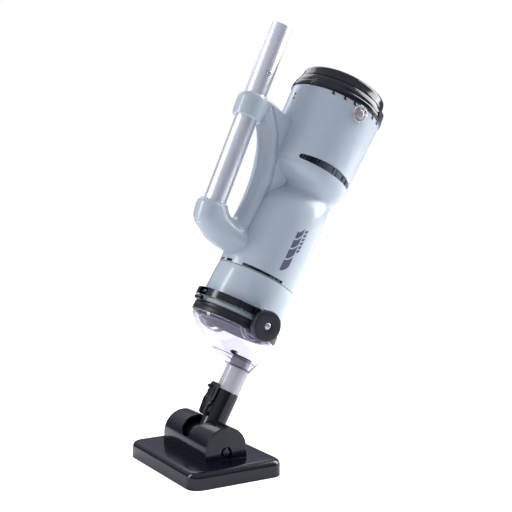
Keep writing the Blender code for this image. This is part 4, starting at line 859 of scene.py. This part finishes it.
def makeBail():
    low, high = bail["low"], bail["high"]
    bm = arcBar(bail["inner"], bail["outer"], -168.5, -11.5, lambda share: (low, high), 80)
    for side in (1, -1):
        plateIn, plateOut = bail["plate"]
        reach = sorted((side * 0.0630, side * plateOut))
        step = [(-0.0210, low), (-0.0210, high), (-0.0134, high), (-0.0134, low)]
        bm = cut(bm, slab(step, *reach), "UNION")
        reach = sorted((side * plateIn, side * plateOut))
        yoke = [*arcPoints((0, knobHeight), 0.0125, 100, -120, 24), (-0.0150, knobHeight - 0.0045),
                (-0.0205, low - 0.0005), (-0.0205, high), (-0.0110, high)]
        bm = cut(bm, slab(yoke, *reach), "UNION")
    outer = bail["outer"]
    half = bail["tabHalf"]
    tab = slab([(-outer + 0.0012, low - 0.0042), (-outer - 0.0052, low - 0.0026), (-outer - 0.0056, high - 0.0018),
                (-outer + 0.0012, high + 0.0002)], -half, half, 0.0012)
    bm = cut(bm, tab, "UNION")
    wide, tall = bail["slot"]
    middle = (low + high) / 2 + 0.0005
    outline = [(-wide + tall / 2, middle)] and [
        *[(x + wide - tall / 2, z) for x, z in arcPoints((0, middle), tall / 2, -90, 90, 8)],
        *[(x - wide + tall / 2, z) for x, z in arcPoints((0, middle), tall / 2, 90, 270, 8)]]
    slot = bmesh.new()
    face = slot.faces.new([slot.verts.new((x, -0.090, z)) for x, z in outline])
    made = bmesh.ops.extrude_face_region(slot, geom=[face])
    moved = [item for item in made["geom"] if isinstance(item, bmesh.types.BMVert)]
    bmesh.ops.translate(slot, verts=moved, vec=(0, 0.040, 0))
    bmesh.ops.recalc_face_normals(slot, faces=slot.faces)
    bm = cut(bm, slot)
    knuckle = spinProfile([(0.0016, -0.0075), (0.0034, -0.0075), (0.0034, 0.0075), (0.0016, 0.0075)], 32, True, "X")
    bmesh.ops.translate(knuckle, verts=knuckle.verts, vec=(0, -outer - 0.0012, low - 0.0060))
    bm = joined(bm, knuckle)
    rib = arcBar(bail["outer"] - 0.0004, bail["outer"] + 0.0009, *bail["rib"], lambda share: (low + 0.0004, high - 0.0004), 8)
    bm = cut(bm, rib, "UNION")
    addPiece("bailArch", bm, finishes["pianoBlackAbs"], "bail", ["bail"], bevel=0.0006)
    for name, side in (("right", 1), ("left", -1)):
        knob = spinProfile([(radius, side * reach) for radius, reach in bail["knob"]], 96, False, "X")
        bmesh.ops.translate(knob, verts=knob.verts, vec=(0, 0, knobHeight))
        addPiece(f"knob.{name}", knob, finishes["grainedBlackAbs"], "bail", [f"knob_{name}"], sharp=50)
        screw = spinProfile([(radius, side * reach) for radius, reach in bail["screw"]], 48, False, "X")
        length, width = bail["cross"]
        for across in ((width, length), (length, width)):
            bite = block((-0.0022, -across[0], -across[1]), (0.0022, across[0], across[1]))
            bmesh.ops.rotate(bite, verts=bite.verts, cent=(0, 0, 0), matrix=Matrix.Rotation(math.radians(20), 3, "X"))
            bmesh.ops.translate(bite, verts=bite.verts, vec=(side * 0.0860, 0, 0))
            screw = cut(screw, bite)
        bmesh.ops.translate(screw, verts=screw.verts, vec=(0, 0, knobHeight))
        addPiece(f"knobScrew.{name}", screw, finishes["zincPlate"], "bail", [f"knob_screw_{name}"])


makeBail()
print("bail and knobs made")


# Nose: ring, ribbed lip, clear cone, tube and filter.

nose = {
    "ring": [(0.0560, 0.1627), (0.0634, 0.1627), (0.0643, 0.1632), (0.0647, 0.1642), (0.0647, 0.1700), (0.0643, 0.1706),
             (0.0641, 0.1712), (0.0645, 0.1718), (0.0646, 0.1744), (0.0642, 0.1756), (0.0630, 0.1760), (0.0560, 0.1760)],
    "lip": {"low": 0.1763, "high": 0.1810, "outer": 0.0633, "inner": 0.0560, "ribs": 150, "depth": 0.00045, "slant": 5.0},
    "base": 0.1133, "top": 0.1624, "radius": 0.0622, "tube": 0.0173, "wall": 0.0024, "power": 1.7,
    "boss": (0.0225, 0.0205), "bossReach": (0.0500, 0.0640),
    "beads": ((0.03, 0.0010), (0.24, 0.0007)),
    "hoop": [(0.0475, 0.1590), (0.0505, 0.1590), (0.0505, 0.1758), (0.0475, 0.1758)],
}


def funnelRow(share):
    # radius and shift of the cone at a share of its height, from the spout up
    swing = (1 - share) ** nose["power"]
    return nose["radius"] - (nose["radius"] - nose["tube"]) * swing, tubeShift * swing


def funnel(offset, rows=28):
    return [(funnelRow(step / rows)[0] + offset, nose["base"] + (nose["top"] - nose["base"]) * step / rows)
            for step in range(rows + 1)]


def shiftedFunnel(bm):
    for vert in bm.verts:
        share = min(1.0, max(0.0, (vert.co.z - nose["base"]) / (nose["top"] - nose["base"])))
        vert.co.y += funnelRow(share)[1]
    return bm


def makeCone():
    cone = shiftedFunnel(spinProfile(funnel(0.0) + funnel(-nose["wall"])[::-1], 128))
    addPiece("noseCone", cone, finishes["clearPolycarbonate"], "nose", ["nose_cone"], bevel=0.0004)
    near, far = nose["bossReach"]
    outer, inner = nose["boss"]
    pockets = []
    for side in (1, -1):
        profile = [(inner, side * near), (outer, side * near), (outer, side * far), (inner, side * far)]
        boss = spinProfile(profile, 64, True, "X")
        bmesh.ops.translate(boss, verts=boss.verts, vec=(0, 0, knobHeight - 0.003))
        geometry = boss.verts[:] + boss.edges[:] + boss.faces[:]
        sliced = bmesh.ops.bisect_plane(boss, geom=geometry, plane_co=(0, 0, nose["top"] - 0.0006),
                                        plane_no=(0, 0, 1), clear_outer=True)
        rim = [item for item in sliced["geom_cut"] if isinstance(item, bmesh.types.BMEdge)]
        bmesh.ops.holes_fill(boss, edges=rim, sides=0)
        bmesh.ops.recalc_face_normals(boss, faces=boss.faces)
        pockets.append(boss)
    # the bosses take the darker copy of the clear plastic, painted shade for their thick edges
    addPiece("conePockets", joined(*pockets), finishes["shadedEdgePolycarbonate"], "nose", bevel=0.0003)
    beads = []
    for share, size in nose["beads"]:
        radius, shift = funnelRow(share)
        height = nose["base"] + (nose["top"] - nose["base"]) * share
        bead = spinProfile(arcPoints((radius + 0.0002, height), size, 0, 345, 10), 96)
        bmesh.ops.translate(bead, verts=bead.verts, vec=(0, shift, 0))
        beads.append(bead)
    # the beads take the same darker copy, painted shade for their thick edges
    addPiece("coneBeads", joined(*beads), finishes["shadedEdgePolycarbonate"], "nose")


def makeNoseRings():
    addPiece("noseRing", spinProfile(nose["ring"], 160), finishes["grainedBlackAbs"], "nose",
             ["nose_ring"], sharp=50)
    lip = nose["lip"]
    count = lip["ribs"]
    rows = 4
    profile = [(lip["outer"], lip["low"] + (lip["high"] - lip["low"]) * row / rows) for row in range(rows + 1)]
    bm = spinProfile(profile + [(lip["inner"], lip["high"]), (lip["inner"], lip["low"])], count * 4)
    for vert in bm.verts:
        distance = math.hypot(vert.co.x, vert.co.y)
        if distance > lip["outer"] - 0.001 and lip["low"] + 1e-5 < vert.co.z < lip["high"] - 1e-5:
            along = math.atan2(vert.co.y, vert.co.x) + math.radians(lip["slant"]) * (vert.co.z - lip["low"]) / 0.0047
            sink = lip["depth"] * (0.5 - 0.5 * math.cos(along * count))
            vert.co.x *= 1 - sink / distance
            vert.co.y *= 1 - sink / distance
    addPiece("ribbedLip", bm, finishes["greyTpe"], "nose", ["lip_gasket"], sharp=60)
    addPiece("filterHoop", spinProfile(nose["hoop"], 96), finishes["slateNylon"], "nose",
             ["filter_frame"], bevel=0.0005)


def makeTube():
    fit = nose["tube"] - 0.0028
    profile = [(nose["tube"], 0.0778), (nose["tube"], 0.1130), (fit, 0.1130), (fit, 0.1288), (fit - 0.0004, 0.1300),
               (fit - 0.0014, 0.1300), (fit - 0.0018, 0.1288), (fit - 0.0018, 0.1110), (0.0130, 0.0815), (0.0130, 0.0480),
               (0.0148, 0.0480), (0.0152, 0.0486), (0.0152, 0.0778)]
    bm = spinProfile(profile, 96)
    bmesh.ops.translate(bm, verts=bm.verts, vec=(0, tubeShift, 0))
    addPiece("intakeTube", bm, finishes["mistPolycarbonate"], "nose", ["intake_tube"], bevel=0.0003)


makeCone()
makeNoseRings()
makeTube()
print("nose made")


# Swivel neck and its latch.

neck = {
    "radius": 0.0178, "top": 0.0775, "bore": 0.0155, "drum": 0.0260, "drumHalf": 0.0190, "pin": 0.0052, "pinEnd": 0.0651,
    "latchHalf": 0.0060,
}


def makeNeck():
    radius, top = neck["radius"], neck["top"]
    bm = spinProfile([(0, 0.0), (radius, 0.0), (radius, top - 0.0008), (radius - 0.0008, top), (0, top)], 64, False)
    drumHalf, drum = neck["drumHalf"], neck["drum"]
    barrelling = [(0, -drumHalf), (drum - 0.0015, -drumHalf), (drum, -drumHalf + 0.0015), (drum, drumHalf - 0.0015),
                  (drum - 0.0015, drumHalf), (0, drumHalf)]
    bm = cut(bm, spinProfile(barrelling, 96, False, "X"), "UNION")
    end, pin = neck["pinEnd"], neck["pin"]
    pins = spinProfile([(0, -end), (pin - 0.0006, -end), (pin, -end + 0.0006), (pin, end - 0.0006), (pin - 0.0006, end),
                        (0, end)], 48, False, "X")
    bm = cut(bm, pins, "UNION")
    root = slab([(-radius + 0.002, 0.0375), (-radius + 0.002, 0.0560), (-radius - 0.0030, 0.0500),
                 (-radius - 0.0040, 0.0410), (-radius - 0.0030, 0.0375)], -0.0065, 0.0065, 0.0006)
    bm = cut(bm, root, "UNION")
    bore = neck["bore"]
    bm = cut(bm, spinProfile([(0, -0.030), (bore, -0.030), (bore, 0.090), (0, 0.090)], 64, False))
    bmesh.ops.translate(bm, verts=bm.verts, vec=(0, tubeShift, 0))
    addPiece("swivelNeck", bm, finishes["pianoBlackAbs"], "neck", ["swivel_neck"], bevel=0.0005)

    face = tubeShift - radius - 0.0012
    back = face - 0.0083
    half = neck["latchHalf"]
    outline = [(face, 0.0575), (face, 0.0815), (back + 0.0020, 0.0827), (back, 0.0805), (back, 0.0600),
               (back - 0.0012, 0.0585), (back - 0.0012, 0.0560), (back + 0.0010, 0.0360), (back + 0.0044, 0.0342),
               (back + 0.0038, 0.0560)]
    tab = slab(outline, -half, half)
    tab = cut(tab, block((-0.0075, back + 0.0026, 0.0610), (0.0075, back + 0.0042, 0.0760)))
    for height in (0.0640, 0.0700):
        tab = cut(tab, block((-0.0075, back - 0.0020, height), (0.0075, back + 0.0008, height + 0.0018)))
    peg = spinProfile([(0, 0.0), (0.0020, 0.0), (0.0026, 0.0008), (0.0026, 0.0024), (0.0016, 0.0034), (0.0016, 0.0090),
                       (0, 0.0090)], 32, False)
    bmesh.ops.rotate(peg, verts=peg.verts, cent=(0, 0, 0), matrix=Matrix.Rotation(-math.pi / 2, 3, "X"))
    bmesh.ops.translate(peg, verts=peg.verts, vec=(0, back - 0.0058, neck["top"] - 0.0030))
    tab = cut(tab, peg, "UNION")
    addPiece("latchTab", tab, finishes["pianoBlackAbs"], "latch", ["latch_tab"], bevel=0.0004)


makeNeck()


# Floor head.

head = {
    "wide": 0.1012, "deep": 0.0712, "sole": -0.03375, "plateTop": -0.0102, "corner": 0.0175, "rounding": 0.0088,
    "split": -0.0021, "coverHalf": 0.0653, "coverRadius": 0.0316, "coverTop": 0.0350, "coverWall": 0.0025,
    "keyhole": 0.0083,
    "swing": (45, 123),                  # directions of the neck at the swivel's limits
    "slotHalf": 0.0203,
    "slotEnd": 0.0186,
}


def archOutline(radius, low, top, steps=40):
    spring = top - radius
    return [(radius, low), *arcPoints((0, spring), radius, 0, 180, steps), (-radius, low)]


def makeCover():
    half, radius, low, top = head["coverHalf"], head["coverRadius"], head["split"], head["coverTop"]
    wall = head["coverWall"]
    bm = slab(archOutline(radius, low, top), -half, half)
    ends = [edge for edge in bm.edges if abs(edge.verts[0].co.x - edge.verts[1].co.x) < 1e-6
            and max(vert.co.z for vert in edge.verts) > low + 1e-5]
    bmesh.ops.bevel(bm, geom=ends, offset=0.0014, segments=4, profile=0.5, affect="EDGES", material=-1)
    bm = cut(bm, slab(archOutline(radius - wall, low - 0.005, top - wall), -half + 0.0075, half - 0.0075))
    spring = top - radius
    slotHalf = head["slotHalf"]
    bm = cut(bm, slab([(0.0, 0.0), *arcPoints((0, 0), 0.055, *head["swing"], 24)], -slotHalf, slotHalf))
    for angle in head["swing"]:
        reach = head["slotEnd"]
        end = spinProfile([(0, 0.010), (reach, 0.010), (reach, 0.055), (0, 0.055)], 64, False)
        bmesh.ops.rotate(end, verts=end.verts, cent=(0, 0, 0), matrix=Matrix.Rotation(math.radians(angle - 90), 3, "X"))
        bm = cut(bm, end)
    key = head["keyhole"]
    for side in (1, -1):
        keyhole = [(key, -0.02), *arcPoints((0, 0), key, 0, 180, 24), (-key, -0.02)]
        bm = cut(bm, slab(keyhole, *sorted((side * 0.0600, side * 0.0700))))
    hole = neck["pin"] + 0.0003
    bm = cut(bm, spinProfile([(0, -0.0605), (hole, -0.0605), (hole, 0.0605), (0, 0.0605)], 48, False, "X"))
    addPiece("headCover", bm, finishes["pianoBlackAbs"], "head", ["head_cover"], headFrame, 0.0007)


def makePlate():
    wide, deep, sole, top = head["wide"], head["deep"], head["sole"], head["plateTop"]
    bm = bmesh.new()
    place = Matrix.Translation((0, 0, (sole + top) / 2)) @ Matrix.Diagonal((2 * wide, 2 * deep, top - sole, 1))
    bmesh.ops.create_cube(bm, size=1.0, matrix=place)
    upright = [edge for edge in bm.edges if abs(edge.verts[0].co.z - edge.verts[1].co.z) > 0.001]
    bmesh.ops.bevel(bm, geom=upright, offset=head["corner"], segments=14, profile=0.5, affect="EDGES", material=-1)
    rim = [edge for edge in bm.edges if min(vert.co.z for vert in edge.verts) > top - 1e-5]
    bmesh.ops.bevel(bm, geom=rim, offset=head["rounding"], segments=10, profile=0.5, affect="EDGES", material=-1)
    half, radius = head["coverHalf"], head["coverRadius"]
    bm = cut(bm, block((-half, -radius, top - 0.004), (half, radius, head["split"] - 0.0003)), "UNION")
    bm = cut(bm, spinProfile([(0, -0.0198), (0.0266, -0.0198), (0.0266, 0.0198), (0, 0.0198)], 64, False, "X"))
    hole = neck["pin"] + 0.0003
    bm = cut(bm, spinProfile([(0, -0.0605), (hole, -0.0605), (hole, 0.0605), (0, 0.0605)], 48, False, "X"))
    key = head["keyhole"]
    for side in (1, -1):
        slot = [(key, top + 0.001), (key, 0.005), (-key, 0.005), (-key, top + 0.001)]
        bm = cut(bm, slab(slot, *sorted((side * 0.0600, side * 0.0700))))
    bm = cut(bm, block((-0.078, -0.026, sole - 0.002), (0.078, 0.026, sole + 0.006)))
    bm = cut(bm, block((-0.0130, -0.0120, sole), (0.0130, 0.0120, -0.0200)))
    for side in (1, -1):
        near, far = sorted((side * 0.0417, side * 0.0483))
        bm = cut(bm, block((-0.0753, near, sole - 0.002), (0.0753, far, sole + 0.0043)))
    for x in (-0.056, 0.056):
        for y in (-0.020, 0.020):
            for hole, low, high in ((0.0023, sole - 0.001, 0.0), (0.0042, sole - 0.001, sole + 0.0050)):
                bore = spinProfile([(0, low), (hole, low), (hole, high), (0, high)], 24, False)
                bmesh.ops.translate(bore, verts=bore.verts, vec=(x, y, 0))
                bm = cut(bm, bore)
    addPiece("headPlate", bm, finishes["pianoBlackAbs"], "head", ["head_plate"], headFrame, 0.0007)


makeCover()
makePlate()
print("floor head made")


# Pole with its spring button.

pole = {
    "radius": 0.015875, "wall": 0.0012, "low": -0.0460, "high": 0.2602, "hole": 0.0038, "holeAlong": 0.1860,
    "button": [(0.0, 0.0133), (0.0035, 0.0133), (0.0035, 0.0174), (0.0032, 0.0182), (0.0024, 0.0187), (0.0, 0.0189)],
}


def makePole():
    radius, wall, low, high = pole["radius"], pole["wall"], pole["low"], pole["high"]
    bm = spinProfile([(radius, low), (radius, high - 0.0004), (radius - 0.0004, high), (radius - wall + 0.0003, high),
                      (radius - wall, high - 0.0004), (radius - wall, low)], 96)
    hole = spinProfile([(0, 0.008), (pole["hole"], 0.008), (pole["hole"], 0.020), (0, 0.020)], 32, False, "X")
    bmesh.ops.translate(hole, verts=hole.verts, vec=(0, 0, pole["holeAlong"]))
    bm = cut(bm, hole)
    addPiece("poleTube", bm, finishes["satinAluminium"], "pole", ["pole"], poleFrame, 0.0002)
    knob = spinProfile(pole["button"], 32, False, "X")
    bmesh.ops.translate(knob, verts=knob.verts, vec=(0, 0, pole["holeAlong"]))
    addPiece("springButton", knob, finishes["zincPlate"], "snap_button", ["snap_button"], poleFrame, sharp=50)


makePole()
print("pole made")


# A plain graphic of slanted bars on the lower barrel, as a thin print.

graphic = {
    # each band: middle angle, lowest height, bar heights, gap, how far it leans, width, taper
    "large": {"middle": 0.5, "low": 0.2570, "bars": (0.0160, 0.0140, 0.0120, 0.0100), "gap": 0.0026, "lean": 0.010,
              "width": 0.0120, "taper": 0.93},
    "small": {"middle": 9.5, "low": 0.2900, "bars": (0.0042,) * 6, "gap": 0.0018, "lean": 0.003, "width": 0.0050,
              "taper": 1.0},
    "thick": 0.00012,
}


def makeGraphic(name, band):
    start = band["low"]
    width = band["width"]
    bars = []
    for height in band["bars"]:
        bm = bmesh.new()
        place = Matrix.Translation((0, 0, 0.5)) @ Matrix.Rotation(math.pi / 2, 4, "X")
        bmesh.ops.create_grid(bm, x_segments=16, y_segments=6, size=0.5, matrix=place)
        for vert in bm.verts:
            across = vert.co.x * width
            up = start + vert.co.z * height + band["lean"] * (vert.co.x + 0.5) ** 2
            radius, shift = barrelSkin(up)
            angle = math.radians(band["middle"]) + across / radius
            vert.co = ((radius + 0.00006) * math.cos(angle), (radius + 0.00006) * math.sin(angle) + shift, up)
        bmesh.ops.recalc_face_normals(bm, faces=bm.faces)
        bmesh.ops.solidify(bm, geom=bm.faces[:], thickness=-graphic["thick"])
        bars.append(bm)
        start += height + band["gap"]
        width *= band["taper"]
    addPiece(name, joined(*bars), finishes["slateInk"], "housing")


makeGraphic("barGraphic.large", graphic["large"])
makeGraphic("barGraphic.small", graphic["small"])
